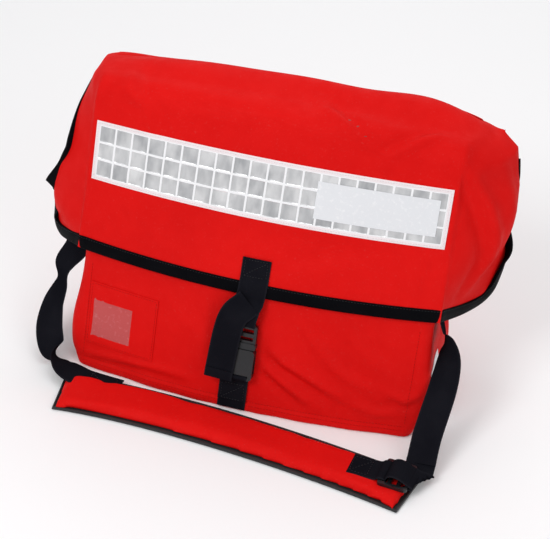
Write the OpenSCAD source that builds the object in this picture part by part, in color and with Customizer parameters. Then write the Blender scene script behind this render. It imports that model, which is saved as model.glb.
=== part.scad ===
// Postal delivery pouch: a box-shaped cloth bag with a lid-like flap,
// a side-release buckle on webbing and a padded shoulder strap lying in front.
// Origin: middle of the base on the floor. Front faces -Y, +X is to the right.

/* [Bag body] */
// Width between the two side gussets
bag_w = 476; // [472:1:478]
// Depth of the base, front to back
base_d = 170; // [166:1:172]
// Slant height of the front panel
front_h = 372; // [366:1:374]
// Backward lean of the front panel, degrees
front_lean = 17; // [16.5:0.1:17.5]
// Forward bulge of the filled front panel
front_bulge = 25; // [22:1:27]
// Thickness of one cloth panel
cloth = 2; // [1.4:0.2:2]

/* [Flap] */
// Width of the flap between its two side seams
flap_w = 484; // [482:1:486]
// Slant height of the flap's lower edge above the floor
flap_low_h = 165; // [164:1:167]
// Face width of the edge binding
binding_h = 17; // [15:1:17]
// Radius of the rounded fold between the flap's front and top
fold_r = 26; // [22:1:28]
// Rise of the crowned top in the middle
crown_rise = 20; // [12:1:22]
// Height of the reflective strip
strip_h = 78; // [70:1:80]
// Length of the reflective strip
strip_w = 470; // [460:1:470]

/* [Webbing and buckle] */
// Webbing width
web_w = 38; // [36:1:38]
// Webbing thickness
web_t = 1.8; // [1.2:0.2:1.8]
// Outside width of the buckle
buckle_w = 50; // [48:1:50]
// Outside thickness of the buckle's receiver
buckle_t = 12; // [11:0.5:12]

/* [Shoulder strap] */
// Width of the shoulder pad
pad_w = 74; // [70:1:74]
// Thickness of the shoulder pad
pad_t = 10.5; // [9.5:0.5:10.5]

/* [Hidden] */
$fn = 48;

half_w = bag_w / 2;
base_t = 2;
panel_low_h = 3.2;
bulge_h = 170;
bulge_fade = 346;
back_lean = 5.6;
back_top_z = 364;
hinge_y = 122.6;
hinge_z = 370;
flap_half = flap_w / 2;
flap_n = 3.6;
flap_cloth_h = flap_low_h + binding_h + 0.3;
fold_h = 369;
corner_half = flap_half + 22;
strip_low_h = 263;
strip_n = flap_n + cloth + 0.2;
buckle_x = -6;
buckle_h = 88;
receiver_h = [50, 92];
receiver_n = 2.6;
receiver_r = 5;
receiver_wall = 2.2;
cavity_h = 59;
window_top = 83;
buckle_gap = 0.6;
slot_w = web_w + 2;
arm_pivot = [14, 89];
adjuster_at = [half_w + 15, -182, pad_t];
adjuster_turn = -5;
pad_route = [[-230, -151], [-100, -135], [120, -163], [255, -195]];

// ---- Shared functions -------------------------------------------------------

function mix(a, b, t) = a + (b - a) * t;

function steps(a, b, n) = [for (i = [0:n]) mix(a, b, i / n)];

function unit(v) = v / norm(v);

// Forward bulge of the front at slant height h
function bulge(h) = h < bulge_h ? front_bulge - 3 * (1 - h / bulge_h)
    : front_bulge * (1 - (h - bulge_h) / bulge_fade);

// Point on the front: across x, slant height h, distance n out from the body cloth
function front_pt(x, h, n) = [x,
    h * sin(front_lean) - base_d / 2 - bulge(h) * (1 - pow(x / half_w, 2))
        - n * cos(front_lean),
    h * cos(front_lean) + n * sin(front_lean)];

function back_y(z) = base_d / 2 + z * tan(back_lean);

// Cubic curve through its two end points, p = four control points
function bezier(p, t) = pow(1 - t, 3) * p[0] + 3 * pow(1 - t, 2) * t * p[1]
    + 3 * (1 - t) * t * t * p[2] + pow(t, 3) * p[3];

function bezier_dir(p, t) = unit(3 * pow(1 - t, 2) * (p[1] - p[0])
    + 6 * (1 - t) * t * (p[2] - p[1]) + 3 * t * t * (p[3] - p[2]));

// Rows of points f(u, v): columns run left to right and rows bottom to top, from outside
function grid(f, us, vs) = [for (v = vs) [for (u = us) f(u, v)]];

// Closed solid between an outer and an inner grid of points
module skin(outer, inner) {
    rows = len(outer);
    cols = len(outer[0]);
    layer = rows * cols;
    function at(k, r, c) = k * layer + r * cols + c;
    quads = concat(
        [for (r = [0:rows - 2], c = [0:cols - 2])
            [at(0, r, c), at(0, r + 1, c), at(0, r + 1, c + 1), at(0, r, c + 1)]],
        [for (r = [0:rows - 2], c = [0:cols - 2])
            [at(1, r, c), at(1, r, c + 1), at(1, r + 1, c + 1), at(1, r + 1, c)]],
        [for (c = [0:cols - 2])
            [at(0, 0, c), at(0, 0, c + 1), at(1, 0, c + 1), at(1, 0, c)]],
        [for (c = [0:cols - 2])
            [at(0, rows - 1, c + 1), at(0, rows - 1, c), at(1, rows - 1, c),
                at(1, rows - 1, c + 1)]],
        [for (r = [0:rows - 2])
            [at(0, r + 1, 0), at(0, r, 0), at(1, r, 0), at(1, r + 1, 0)]],
        [for (r = [0:rows - 2])
            [at(0, r, cols - 1), at(0, r + 1, cols - 1), at(1, r + 1, cols - 1),
                at(1, r, cols - 1)]]);
    polyhedron(
        points = concat([for (row = outer) each row], [for (row = inner) each row]),
        faces = [for (q = quads) each [[q[0], q[1], q[2]], [q[0], q[2], q[3]]]]);
}

// Patch on the front between two distances from the body cloth
module front_patch(xs, hs, n_low, n_high) {
    skin(grid(function(x, h) front_pt(x, h, n_high), xs, hs),
        grid(function(x, h) front_pt(x, h, n_low), xs, hs));
}

// Strip of webbing: stations are [centre, direction of its width]
module ribbon(stations, width, thick) {
    last = len(stations) - 1;
    function along(i) = unit(stations[min(i + 1, last)][0] - stations[max(i - 1, 0)][0]);
    function edge(i) = unit(stations[i][1] - (stations[i][1] * along(i)) * along(i));
    function face(i) = cross(edge(i), along(i));
    function row(i, side) = [for (s = [-0.5, 0.5])
        stations[i][0] + s * width * edge(i) + side * thick / 2 * face(i)];
    skin([for (i = [0:last]) row(i, 1)], [for (i = [0:last]) row(i, -1)]);
}

// Local frame of the buckle on the front: X right, Y up the slope, Z outwards
module on_front() {
    translate(front_pt(buckle_x, buckle_h, 0)) rotate([90 - front_lean, 0, 0])
        translate([0, -buckle_h, 0]) children();
}

// Side plate: outline in (y, z), from x = 0 to x = thick
module side_plate(outline, thick) {
    rotate([90, 0, 90]) linear_extrude(thick) polygon(outline);
}

module both_sides_x(x, thick, right) {
    translate([right ? x : -x - thick, 0, 0]) children();
}

// ---- Bag body ---------------------------------------------------------------

function base_outline(inset) = concat(
    [for (x = steps(-half_w + inset + 14, half_w - inset - 14, 16))
        [x, front_pt(x, 0, 0)[1] + inset]],
    [[half_w - inset, 14 - base_d / 2], [half_w - inset, base_d / 2 - inset],
        [inset - half_w, base_d / 2 - inset], [inset - half_w, 14 - base_d / 2]]);

module base_panel() {
    color("firebrick") linear_extrude(base_t) polygon(base_outline(0));
}

module base_board() {
    color("dimgray") translate([0, 0, base_t + 0.2])
        linear_extrude(2.5) polygon(base_outline(5));
}

module front_panel() {
    color("red") front_patch(steps(-half_w + 0.5, half_w - 0.5, 16),
        steps(panel_low_h, front_h, 10), -cloth, 0);
}

module back_panel() {
    function pt(x, z, n) = [x, back_y(z) + n, z];
    xs = steps(half_w - 0.5, 0.5 - half_w, 8);
    zs = steps(base_t + 0.3, back_top_z, 4);
    color("firebrick") skin(grid(function(x, z) pt(x, z, 0), xs, zs),
        grid(function(x, z) pt(x, z, -cloth), xs, zs));
}

// Gusset outline in (y, z), held clear of the front and back cloth
function gusset_outline() = let (gap = cloth + 0.6, low = base_t + 0.3, top = 352)
    [for (p = [[1, low], [-1, low], [-1, top], [1, top]])
        [p[0] > 0 ? front_pt(half_w, p[1] / cos(front_lean), 0)[1] + gap
            : back_y(p[1]) - gap, p[1]]];

module gusset(right) {
    both_sides_x(half_w - cloth, cloth, right)
        side_plate(gusset_outline(), cloth);
}

module gusset_left() { color("firebrick") gusset(false); }

module gusset_right() { color("firebrick") gusset(true); }

module mouth_hem() {
    hem = 16;
    side_hem = [[24, 336], [112, 336], [112, 352], [29, 352]];
    color("darkred") {
        front_patch(steps(-half_w + 8, half_w - 8, 8), [front_h - hem, front_h],
            -cloth - 1.6, -cloth - 0.2);
        for (right = [false, true])
            both_sides_x(half_w - cloth - 1.6, 1.4, right) side_plate(side_hem, 1.4);
    }
}

// Reflective patch sewn low on a gusset
module reflector(right) {
    both_sides_x(half_w + 0.2, 0.8, right)
        side_plate([[-66, 18], [-6, 18], [8, 82], [-46, 82]], 0.8);
}

module reflector_left() { color("silver") reflector(false); }

module reflector_right() { color("silver") reflector(true); }

module id_pocket_frame() {
    color("red") {
        front_patch([-212, -181, -150, -120], [39, 51.8], 1.2, 2.4);
        front_patch([-212, -181, -150, -120], [100.2, 125], 1.2, 2.4);
        front_patch([-212, -203.2], [52, 100], 1.2, 2.4);
        front_patch([-152.8, -136, -120], [52, 100], 1.2, 2.4);
    }
}

module id_window() {
    color("mistyrose") front_patch(steps(-208, -148, 4), steps(46, 106, 3), 0.3, 1);
}

module front_web() {
    xs = [buckle_x - web_w / 2, buckle_x, buckle_x + web_w / 2];
    color("black") {
        front_patch(xs, steps(panel_low_h, 66, 4), 0.3, 0.3 + web_t);
        front_patch(xs, steps(panel_low_h, receiver_h[0] - 0.6, 4), 2.4, 2.4 + web_t);
    }
}

// ---- Buckle -----------------------------------------------------------------

// Block in the buckle's frame: x is half its width, h and n are ranges
module buckle_block(x, h, n) {
    translate([-x, h[0], n[0]]) cube([2 * x, h[1] - h[0], n[1] - n[0]]);
}

module rounded_plate(x, h, n, r) {
    translate([0, 0, n[0]]) linear_extrude(n[1] - n[0]) hull()
        for (sx = [-1, 1], y = [h[0] + r, h[1] - r])
            translate([sx * (x - r), y]) circle(r = r, $fn = 32);
}

// Part of the receiver's rounded block between heights h, distances n and widths x
module receiver_part(x, h, n) {
    on_front() intersection() {
        rounded_plate(buckle_w / 2, receiver_h,
            [receiver_n, receiver_n + buckle_t], receiver_r);
        translate([x[0], h[0], n[0]])
            cube([x[1] - x[0], h[1] - h[0], n[1] - n[0]]);
    }
}

// Solid lower end of the receiver, with the slot for the front webbing
module receiver_base() {
    n = [receiver_n, receiver_n + buckle_t];
    color("dimgray") difference() {
        receiver_part([-buckle_w, buckle_w], [receiver_h[0], cavity_h], n);
        on_front() buckle_block(slot_w / 2, [receiver_h[0] + 3, receiver_h[0] + 6.4],
            [n[0] - 1, n[1] + 1]);
    }
}

module receiver_back() {
    color("dimgray") receiver_part([-buckle_w, buckle_w], [cavity_h, receiver_h[1]],
        [receiver_n, receiver_n + receiver_wall]);
}

module receiver_front() {
    color("dimgray") receiver_part([-buckle_w, buckle_w], [cavity_h, receiver_h[1]],
        [receiver_n + buckle_t - receiver_wall, receiver_n + buckle_t]);
}

// Side post beside the receiver's mouth, above the side window
module receiver_post(xs) {
    color("dimgray") receiver_part(xs, [window_top, receiver_h[1]],
        [receiver_n + receiver_wall, receiver_n + buckle_t - receiver_wall]);
}

module receiver_post_left() { receiver_post([-buckle_w / 2, 3 - buckle_w / 2]); }

module receiver_post_right() { receiver_post([buckle_w / 2 - 3, buckle_w / 2]); }

module buckle_plug() {
    base = [receiver_h[1] + buckle_gap, receiver_h[1] + 9];
    ladder = [base[1] - 0.5, receiver_h[1] + 34];
    color("dimgray") on_front() difference() {
        union() {
            rounded_plate(buckle_w / 2, base, [3.4, 13.4], 3);
            rounded_plate(buckle_w / 2 - 1, [ladder[0] - 4, ladder[1]], [5, 12], 4);
            buckle_block(4, [receiver_h[0] + 12, base[0] + 1], [6, 11]);
        }
        buckle_block(slot_w / 2, [ladder[0] + 4, ladder[0] + 9], [0, 20]);
        buckle_block(slot_w / 2, [ladder[0] + 14, ladder[0] + 20], [0, 20]);
    }
}

// Spring arm of the plug, with its barb behind the receiver's side window
module plug_arm(side) {
    barb_x = buckle_w / 2 - 3.5;
    color("dimgray") on_front() mirror([side < 0 ? 1 : 0, 0, 0])
        translate([0, 0, 5.4]) linear_extrude(6.4) union() {
            translate(arm_pivot) circle(r = 2.4, $fn = 32);
            polygon([[arm_pivot[0] - 2.4, arm_pivot[1]], [13, 66], [15, 63.5], [18, 63.5],
                [barb_x, 69], [barb_x, 80], [18.5, 81.5], [arm_pivot[0] + 2.4, arm_pivot[1]]]);
        }
}

module plug_arm_left() { plug_arm(-1); }

module plug_arm_right() { plug_arm(1); }

// ---- Flap -------------------------------------------------------------------

function bow(t) = 1 - pow(1 - t, 1.6);

// Cover surface: u across from -1 to 1; v from 0 to 1 up the front,
// 1 to 2 round the fold, 2 to 3 back over the top; n out from the body cloth
function cover_pt(u, v, n) = v <= 1 ? front_pt(u * flap_half, mix(flap_cloth_h, fold_h, v), n)
    : v <= 2 ? fold_pt(u, v - 1, n) : top_pt(u, v - 2, n);

fold_start = front_pt(half_w, fold_h, 0);
fold_y = fold_start[1] + fold_r * cos(front_lean);
fold_z = fold_start[2] - fold_r * sin(front_lean);

function fold_pt(u, w, n) = let (
    tilt = mix(front_lean, 90, w),
    out = bulge(fold_h) * (1 - pow(u * flap_half / half_w, 2)),
    turn = 90 * w)
    [u * flap_half,
        fold_y - (fold_r + n) * cos(tilt) - out * cos(turn),
        fold_z + (fold_r + n) * sin(tilt) + out * sin(turn)];

function top_pt(u, w, n) = let (
    crown = (bulge(fold_h) * (1 - w) + crown_rise * sin(180 * pow(w, 1.3)))
        * (1 - pow(u, 2)),
    droop = 10 * w * pow(abs(u), 16))
    [u * mix(flap_half, corner_half, bow(w)),
        mix(fold_y, hinge_y - 1.2, w),
        mix(fold_z + fold_r, hinge_z - flap_n - 0.6, w) + crown - droop + n];

flap_us = [-1, -0.95, -0.85, -0.65, -0.4, -0.15, 0.15, 0.4, 0.65, 0.85, 0.95, 1];

module cover_layer(v_low, n_low, n_high) {
    vs = concat([for (v = steps(v_low, 1, 5)) v], [1.25, 1.5, 1.75],
        [for (v = steps(2, 3, 6)) v]);
    skin(grid(function(u, v) cover_pt(u, v, n_high), flap_us, vs),
        grid(function(u, v) cover_pt(u, v, n_low), flap_us, vs));
}

module flap_cover() { color("red") cover_layer(0, flap_n, flap_n + cloth); }

module flap_lining() { color("firebrick") cover_layer(0, flap_n - 1.2, flap_n - 0.3); }

module flap_binding() {
    color("black") front_patch([for (u = flap_us) u * (flap_half - 0.3)],
        [flap_low_h, flap_low_h + binding_h], flap_n - 1.2, flap_n + cloth + 1.2);
}

// Free edge of a wing in the side view (y, z), from the front seam to the hinge corner
edge_left = [[-39.4, 158.8], [-12, 146], [12, 138], [21, 152], [22, 184], [19, 222],
    [28, 262], [52, 308], [85, 343], [119, 357]];
edge_right = [[-39.4, 158.8], [-8, 148], [24, 142], [52, 146], [68, 164], [80, 194],
    [92, 236], [103, 284], [112, 326], [119, 357]];
wing_top = [fold_y - 12, fold_z + fold_r - 4];
wing_rows = [0.14, 0.3, 0.55, 0.8, 0.97];

// Sideways reach of each wing at heights z
reach_z = [120, 137, 150, 180, 215, 240, 270, 300, 345, 366];
reach_left = [46, 50, 54, 60, 63, 63, 52, 40, 24, 18];
reach_right = [40, 47, 53, 59, 62, 63, 64, 64, 56, 30];

// How far the cloth near a wing's free edge turns back in, at heights z
curl_z = [190, 230, 280];
curl_left = [0, 0, 14];
curl_right = [0, 12, 14];

function seam_share(y, z, span) =
    min(1, max(0, (y - z * tan(front_lean) + base_d / 2) / span));

// Sideways place of the left and right wing cloth at (y, z)
function wing_x(y, z, side) = flap_half + 1 + (side < 0
    ? lookup(z, table(reach_z, reach_left)) * bow(seam_share(y, z, 60))
    : lookup(z, table(reach_z, reach_right))
        * mix(pow(seam_share(y, z, 108), 1.4), bow(seam_share(y, z, 80)),
            lookup(z, [[150, 0], [260, 1]])));

function table(keys, values) = [for (i = [0:len(keys) - 1]) [keys[i], values[i]]];

// Point at share s along a line of points
function along(line, s) = let (k = s * (len(line) - 1), i = min(floor(k), len(line) - 2))
    mix(line[i], line[i + 1], k - i);

// Point of a wing: s along the free edge, t from the edge to the top of the front seam
function wing_pt(s, t, side, n) = let (
    p = mix(along(side < 0 ? edge_left : edge_right, s), wing_top, t),
    curl = lookup(p[1], table(curl_z, side < 0 ? curl_left : curl_right))
        * pow(max(0, 1 - t / 0.16), 1.5))
    [side * (wing_x(p[0], p[1], side) - curl + n), p[0], p[1]];

// Part of a wing between two shares of the way in from its free edge
module wing_part(side, ts, n_low, n_high) {
    ss = side > 0 ? steps(0, 1, 18) : steps(1, 0, 18);
    skin(grid(function(s, t) wing_pt(s, t, side, n_high), ss, ts),
        grid(function(s, t) wing_pt(s, t, side, n_low), ss, ts));
}

module flap_wing_left() { color("firebrick") wing_part(-1, wing_rows, 0, cloth); }

module flap_wing_right() { color("firebrick") wing_part(1, wing_rows, 0, cloth); }

module wing_binding_left() { color("black") wing_part(-1, [0, 0.07, 0.135], -0.8, cloth + 1.2); }

module wing_binding_right() { color("black") wing_part(1, [0, 0.07, 0.135], -0.8, cloth + 1.2); }

// Border tape round the reflective strip
module strip_border() {
    tape = 5;
    half = strip_w / 2;
    xs = steps(-half, half, 12);
    top = strip_low_h + strip_h;
    color("white") {
        front_patch(xs, [strip_low_h, strip_low_h + tape], strip_n, strip_n + 0.8);
        front_patch(xs, [top - tape, top], strip_n, strip_n + 0.8);
        for (x = [-half, half - tape])
            front_patch([x, x + tape], [strip_low_h + tape + 0.1, top - tape - 0.1],
                strip_n, strip_n + 0.8);
    }
}

module strip_field(x_low, x_high, cols) {
    front_patch(steps(x_low, x_high, cols), [strip_low_h + 5.3, strip_low_h + strip_h - 5.3],
        strip_n, strip_n + 0.6);
}

module strip_cells() { color("silver") strip_field(-strip_w / 2 + 5.3, 69.8, 10); }

module strip_panel() { color("gainsboro") strip_field(70.2, strip_w / 2 - 5.3, 5); }

// Webbing lines down the front: [slant height, distance out, sideways centre]
tab_line = [[159, 7.3, 2], [164, 7.2, 3], [183, 7.2, 4], [187, 6.1, 4], [214, 6.1, 4]];

bend_line = [[149.2, 12.2, 0], [158.7, 7.5, 2]];

flap_web_line = [[124, 12.8, -4], [136, 12.8, -3], [144, 12.8, -1], [148.9, 12.4, 0]];

tail_line = [[48, 16.6, -24], [74, 16.6, -23], [100, 16.6, -21], [126, 16.4, -17],
    [142, 16.2, -10]];

tail_bend_line = [[142.3, 16.2, -10], [151, 15, -5], [157.6, 11.4, -2]];

module face_web(line) {
    us = [-web_w / 2, 0, web_w / 2];
    function pt(u, k, out) = front_pt(line[k][2] + u, line[k][0], line[k][1] + out);
    ks = [for (k = [0:len(line) - 1]) k];
    skin(grid(function(u, k) pt(u, k, web_t), us, ks),
        grid(function(u, k) pt(u, k, 0), us, ks));
}

// Tab of the webbing that is sewn to the flap
module flap_tab() { color("black") face_web(tab_line); }

// Part of the webbing that steps out past the flap's edge
module web_bend() { color("black") face_web(bend_line); }

module flap_web() { color("black") face_web(flap_web_line); }

module web_tail() { color("black") face_web(tail_line); }

module tail_bend() { color("black") face_web(tail_bend_line); }

// ---- Shoulder strap ---------------------------------------------------------

// Webbing sewn to the left gusset, turning outwards below the wing
module strap_anchor_left() {
    color("black") ribbon([
        [[-half_w - 1.4, 18, 236], [0, 1, -0.3]],
        [[-half_w - 1.4, 12, 214], [0, 1, -0.3]],
        [[-half_w - 5, 5, 190], [-0.25, 1, -0.3]],
        [[-half_w - 11, 0, 168], [-0.55, 1, -0.3]],
        [[-half_w - 18, -4, 148], [-0.8, 0.7, -0.3]],
        [[-half_w - 23, -6.5, 130], [-1, 0.2, -0.1]]], web_w - 6, web_t);
}

// Webbing sewn to the right gusset, flat against it down to the pivot
module strap_anchor_right() {
    color("black") ribbon([
        [[half_w + 1.4, 18, 236], [0, 1, -0.3]],
        [[half_w + 1.4, 12, 214], [0, 1, -0.3]],
        [[half_w + 2.4, 5, 190], [0, 1, -0.3]],
        [[half_w + 3, 0, 168], [0, 1, -0.2]],
        [[half_w + 3, -5, 148], [0, 1, -0.1]],
        [[half_w + 3, -10, 131], [0, 1, 0]]], web_w - 6, web_t);
}

module strap_web_right() {
    color("black") ribbon([
        [[half_w + 11, -13, 122.6], [0.35, -0.94, 0]],
        [[half_w + 14, -24, 113], [0.6, -0.8, 0]],
        [[half_w + 19.5, -44, 98], [0.85, -0.5, 0]],
        [[half_w + 22, -70, 76], [1, -0.1, 0]],
        [[half_w + 21, -98, 54], [1, 0, 0]],
        [[half_w + 20, -120, 38], [1, -0.1, 0]],
        [[half_w + 20, -140, 24], [1, -0.2, 0]],
        [[half_w + 21, -152, 16], [1, -0.3, 0]]], web_w, web_t);
}

module strap_web_left() {
    color("black") ribbon([
        [[-half_w - 33, -9.5, 123.6], [-1, 0.2, 0]],
        [[-half_w - 37, -17, 110], [-0.9, 0.7, 0]],
        [[-half_w - 35, -29, 86], [-0.6, 0.9, 0.2]],
        [[-half_w - 42, -46, 58], [-0.9, 0.5, 0]],
        [[-half_w - 38, -72, 37], [-0.9, 0.2, 0]],
        [[-half_w - 22, -98, 23], [-0.7, 0.5, 0.1]],
        [[-half_w - 6, -111, 16], [-0.5, 0.9, 0]],
        [[-half_w + 8, -118, pad_t + 2.4], [-0.25, 1, 0]],
        [[-half_w + 24, -124, pad_t + 1.4], [-0.1, 1, 0]],
        [[-half_w + 40, -128, pad_t + 1.4], [-0.1, 1, 0]],
        [[-half_w + 84, -132, pad_t + 1.4], [-0.1, 1, 0]]], web_w, web_t);
}

// Flat corner where the right webbing is folded over towards the adjuster
module web_fold() {
    color("black") translate([0, 0, pad_t + 0.3]) linear_extrude(web_t)
        polygon([[half_w + 18, -208], [half_w + 22, -208], [half_w + 40, -156],
            [half_w + 18, -156]]);
}

// Outline of the pad at a distance inside its edge
function pad_outline(inset) = let (
    a = inset / 490,
    half = pad_w / 2 - inset,
    ts = steps(a, 1 - a, 18),
    side = function(t, s) let (c = bezier(pad_route, t), d = bezier_dir(pad_route, t))
        [c[0] - s * half * d[1], c[1] + s * half * d[0]])
    concat([for (t = ts) side(t, -1)], [for (i = [18:-1:0]) side(ts[i], 1)]);

module pad_cover() {
    color("red") difference() {
        translate([0, 0, 1.7]) linear_extrude(pad_t - 1.7) polygon(pad_outline(0));
        translate([0, 0, 1]) linear_extrude(pad_t - 2.2) polygon(pad_outline(1.4));
    }
}

module pad_foam() {
    color("dimgray") translate([0, 0, 1.8]) linear_extrude(pad_t - 3.2)
        polygon(pad_outline(1.8));
}

module pad_backing() {
    color("black") linear_extrude(1.5) polygon(pad_outline(0));
}

// Local frame of the strap adjuster: X along the pad towards its right end
module on_pad() { translate(adjuster_at) rotate([0, 0, adjuster_turn]) children(); }

// Webbing sewn on the pad, running under the adjuster's left bar
module adjuster_loop() {
    color("black") on_pad() translate([-84, -web_w / 2, 0.3]) cube([50, web_w, web_t]);
}

module strap_adjuster() {
    bar_y = buckle_w / 2;
    color("dimgray") on_pad() translate([0, 0, 3.2]) difference() {
        linear_extrude(5) hull() for (x = [-34, -3], y = [4 - bar_y, bar_y - 4])
            translate([x, y]) circle(r = 4, $fn = 32);
        for (x = [-33, -21, -9])
            translate([x, -slot_w / 2, -1]) cube([7, slot_w, 7]);
    }
}

// Webbing humped over the adjuster's bars
module adjuster_web() {
    color("black") on_pad() ribbon([
        [[-2, 0, 9.6], [0, 1, 0]],
        [[-6, 0, 13.2], [0, 1, 0]],
        [[-14, 0, 16.4], [0, 1, 0]],
        [[-24, 0, 16.4], [0, 1, 0]],
        [[-32, 0, 13.2], [0, 1, 0]],
        [[-36, 0, 9.6], [0, 1, 0]]], web_w, web_t);
}

base_panel();
base_board();
front_panel();
back_panel();
gusset_left();
gusset_right();
mouth_hem();
reflector_left();
reflector_right();
id_pocket_frame();
id_window();
front_web();
receiver_base();
receiver_back();
receiver_front();
receiver_post_left();
receiver_post_right();
strap_anchor_left();
strap_anchor_right();
flap_cover();
flap_lining();
flap_wing_left();
flap_wing_right();
flap_binding();
wing_binding_left();
wing_binding_right();
strip_border();
strip_cells();
strip_panel();
flap_tab();
web_bend();
flap_web();
web_tail();
tail_bend();
buckle_plug();
plug_arm_left();
plug_arm_right();
strap_web_left();
strap_web_right();
web_fold();
pad_cover();
pad_foam();
pad_backing();
adjuster_loop();
strap_adjuster();
adjuster_web();
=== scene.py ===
import logging
import math
from dataclasses import dataclass, field
from enum import Enum
from typing import Any, Callable, Iterable, Sequence

import bpy
import numpy as np
from mathutils import Matrix, Vector


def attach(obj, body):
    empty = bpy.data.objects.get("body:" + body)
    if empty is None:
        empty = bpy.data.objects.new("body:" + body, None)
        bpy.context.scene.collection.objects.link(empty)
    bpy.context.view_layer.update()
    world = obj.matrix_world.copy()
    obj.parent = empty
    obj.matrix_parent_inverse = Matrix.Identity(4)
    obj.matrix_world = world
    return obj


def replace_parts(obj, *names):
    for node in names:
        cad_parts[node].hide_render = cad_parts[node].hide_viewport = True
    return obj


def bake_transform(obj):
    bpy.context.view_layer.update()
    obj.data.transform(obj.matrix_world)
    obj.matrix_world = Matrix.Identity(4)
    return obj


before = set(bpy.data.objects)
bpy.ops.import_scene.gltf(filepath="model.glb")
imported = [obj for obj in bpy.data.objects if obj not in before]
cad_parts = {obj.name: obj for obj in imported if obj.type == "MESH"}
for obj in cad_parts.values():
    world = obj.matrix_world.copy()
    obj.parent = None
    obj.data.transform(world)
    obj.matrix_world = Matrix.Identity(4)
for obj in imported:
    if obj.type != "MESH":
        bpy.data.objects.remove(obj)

LOG = logging.getLogger("pouch")
MM = 0.001
TURN = 2.0 * math.pi

Pair = tuple[float, float]
Triple = tuple[float, float, float]


# ---- Small maths -------------------------------------------------------------


def mix(a: Any, b: Any, t: Any) -> Any:
    """Value the share t of the way from a to b."""
    return a + (b - a) * t


def ease(value: Any, low: float, high: float) -> Any:
    """Smooth rise from 0 at low to 1 at high."""
    t = np.clip((value - low) / (high - low), 0.0, 1.0)
    return t * t * (3.0 - 2.0 * t)


def bow(t: Any) -> Any:
    """Fast start and slow finish, used where the flap spreads sideways."""
    return 1.0 - np.power(np.clip(1.0 - t, 0.0, 1.0), 1.6)


def unit(v: np.ndarray) -> np.ndarray:
    """Vectors of length one in the directions of v, along its last axis."""
    return v / np.maximum(np.linalg.norm(v, axis=-1, keepdims=True), 1e-9)


def ripple(a: np.ndarray, b: np.ndarray, wave: float, seed: int, terms: int = 8) -> np.ndarray:
    """Gentle unevenness of hanging cloth.

    Args:
        a: First coordinate on the sheet, mm.
        b: Second coordinate on the sheet, mm.
        wave: Usual length of one ripple, mm.
        seed: Start of the random series, so that each sheet has its own ripples.
        terms: Number of waves that are added.

    Returns:
        Heights of about -1 to 1.
    """
    rng = np.random.RandomState(seed)
    total = np.zeros(np.broadcast(a, b).shape)
    for _ in range(terms):
        turn = rng.uniform(0.0, TURN)
        length = wave * rng.uniform(0.65, 1.7)
        phase = rng.uniform(0.0, TURN)
        total = total + np.sin((a * math.cos(turn) + b * math.sin(turn)) * TURN / length + phase)
    return total / math.sqrt(terms * 2.0)


def bezier(p: Sequence[Sequence[float]], t: Any) -> np.ndarray:
    """Point on a cubic curve through its two end points.

    Args:
        p: Four control points.
        t: Share of the way along, one number or an array.

    Returns:
        Array with the coordinates along the last axis.
    """
    c = np.asarray(p, float)
    t = np.asarray(t, float)[..., None]
    return ((1 - t) ** 3 * c[0] + 3 * (1 - t) ** 2 * t * c[1]
            + 3 * (1 - t) * t ** 2 * c[2] + t ** 3 * c[3])


def smooth_path(points: Sequence[Sequence[float]], step: float) -> np.ndarray:
    """Even, smooth route through given points.

    Args:
        points: Points to pass through; each may carry extra numbers after x, y, z.
        step: Distance between points of the result, mm.

    Returns:
        Array of resampled rows.
    """
    p = np.asarray(points, float)
    p = np.vstack([2 * p[0] - p[1], p, 2 * p[-1] - p[-2]])
    rows = []
    count = 16
    for i in range(1, len(p) - 2):
        for k in range(count):
            t = k / count
            rows.append(0.5 * (2 * p[i] + (p[i + 1] - p[i - 1]) * t
                               + (2 * p[i - 1] - 5 * p[i] + 4 * p[i + 1] - p[i + 2]) * t * t
                               + (3 * p[i] - p[i - 1] - 3 * p[i + 1] + p[i + 2]) * t ** 3))
    rows.append(p[-2])
    fine = np.array(rows)
    run = np.concatenate([[0], np.cumsum(np.linalg.norm(np.diff(fine[:, :3], axis=0), axis=1))])
    stops = np.linspace(0, run[-1], max(3, int(run[-1] / step) + 1))
    return np.stack([np.interp(stops, run, fine[:, k]) for k in range(fine.shape[1])], axis=1)


@dataclass(frozen=True)
class Fold:
    """Soft fold in cloth, along a line in the sheet's own two directions (mm)."""

    line: tuple[Pair, ...]
    height: float
    width: float
    hollow: float = 0.55
    side: int = 1

    def rise(self, a: np.ndarray, b: np.ndarray) -> np.ndarray:
        """Height of the fold over the sheet.

        Args:
            a: First coordinate of each place.
            b: Second coordinate of each place.

        Returns:
            Height in mm, below zero in the hollow beside the ridge.
        """
        best = np.full(a.shape, 1e9)
        across = np.zeros(a.shape)
        along = np.zeros(a.shape)
        pts = np.asarray(self.line, float)
        seg = np.linalg.norm(np.diff(pts, axis=0), axis=1)
        run = np.concatenate([[0], np.cumsum(seg)])
        for i, length in enumerate(seg):
            d = (pts[i + 1] - pts[i]) / length
            ra, rb = a - pts[i][0], b - pts[i][1]
            t = np.clip(ra * d[0] + rb * d[1], 0, length)
            far = np.hypot(ra - t * d[0], rb - t * d[1])
            closer = far < best
            best = np.where(closer, far, best)
            sign = np.sign(d[0] * rb - d[1] * ra)
            across = np.where(closer, sign * far, across)
            along = np.where(closer, (run[i] + t) / run[-1], along)
        fade = np.sin(math.pi * np.clip(along, 0.02, 0.98)) ** 0.7
        off = across - self.side * 1.5 * self.width
        return self.height * fade * (np.exp(-(across / self.width) ** 2)
                                     - self.hollow * np.exp(-(off / self.width) ** 2))


def fold_heights(folds: Iterable[Fold], a: np.ndarray, b: np.ndarray) -> np.ndarray:
    """Sum of the heights of several folds at each place."""
    total = np.zeros(np.broadcast(a, b).shape)
    for fold in folds:
        total = total + fold.rise(a, b)
    return total


# ---- Meshes ------------------------------------------------------------------


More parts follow.
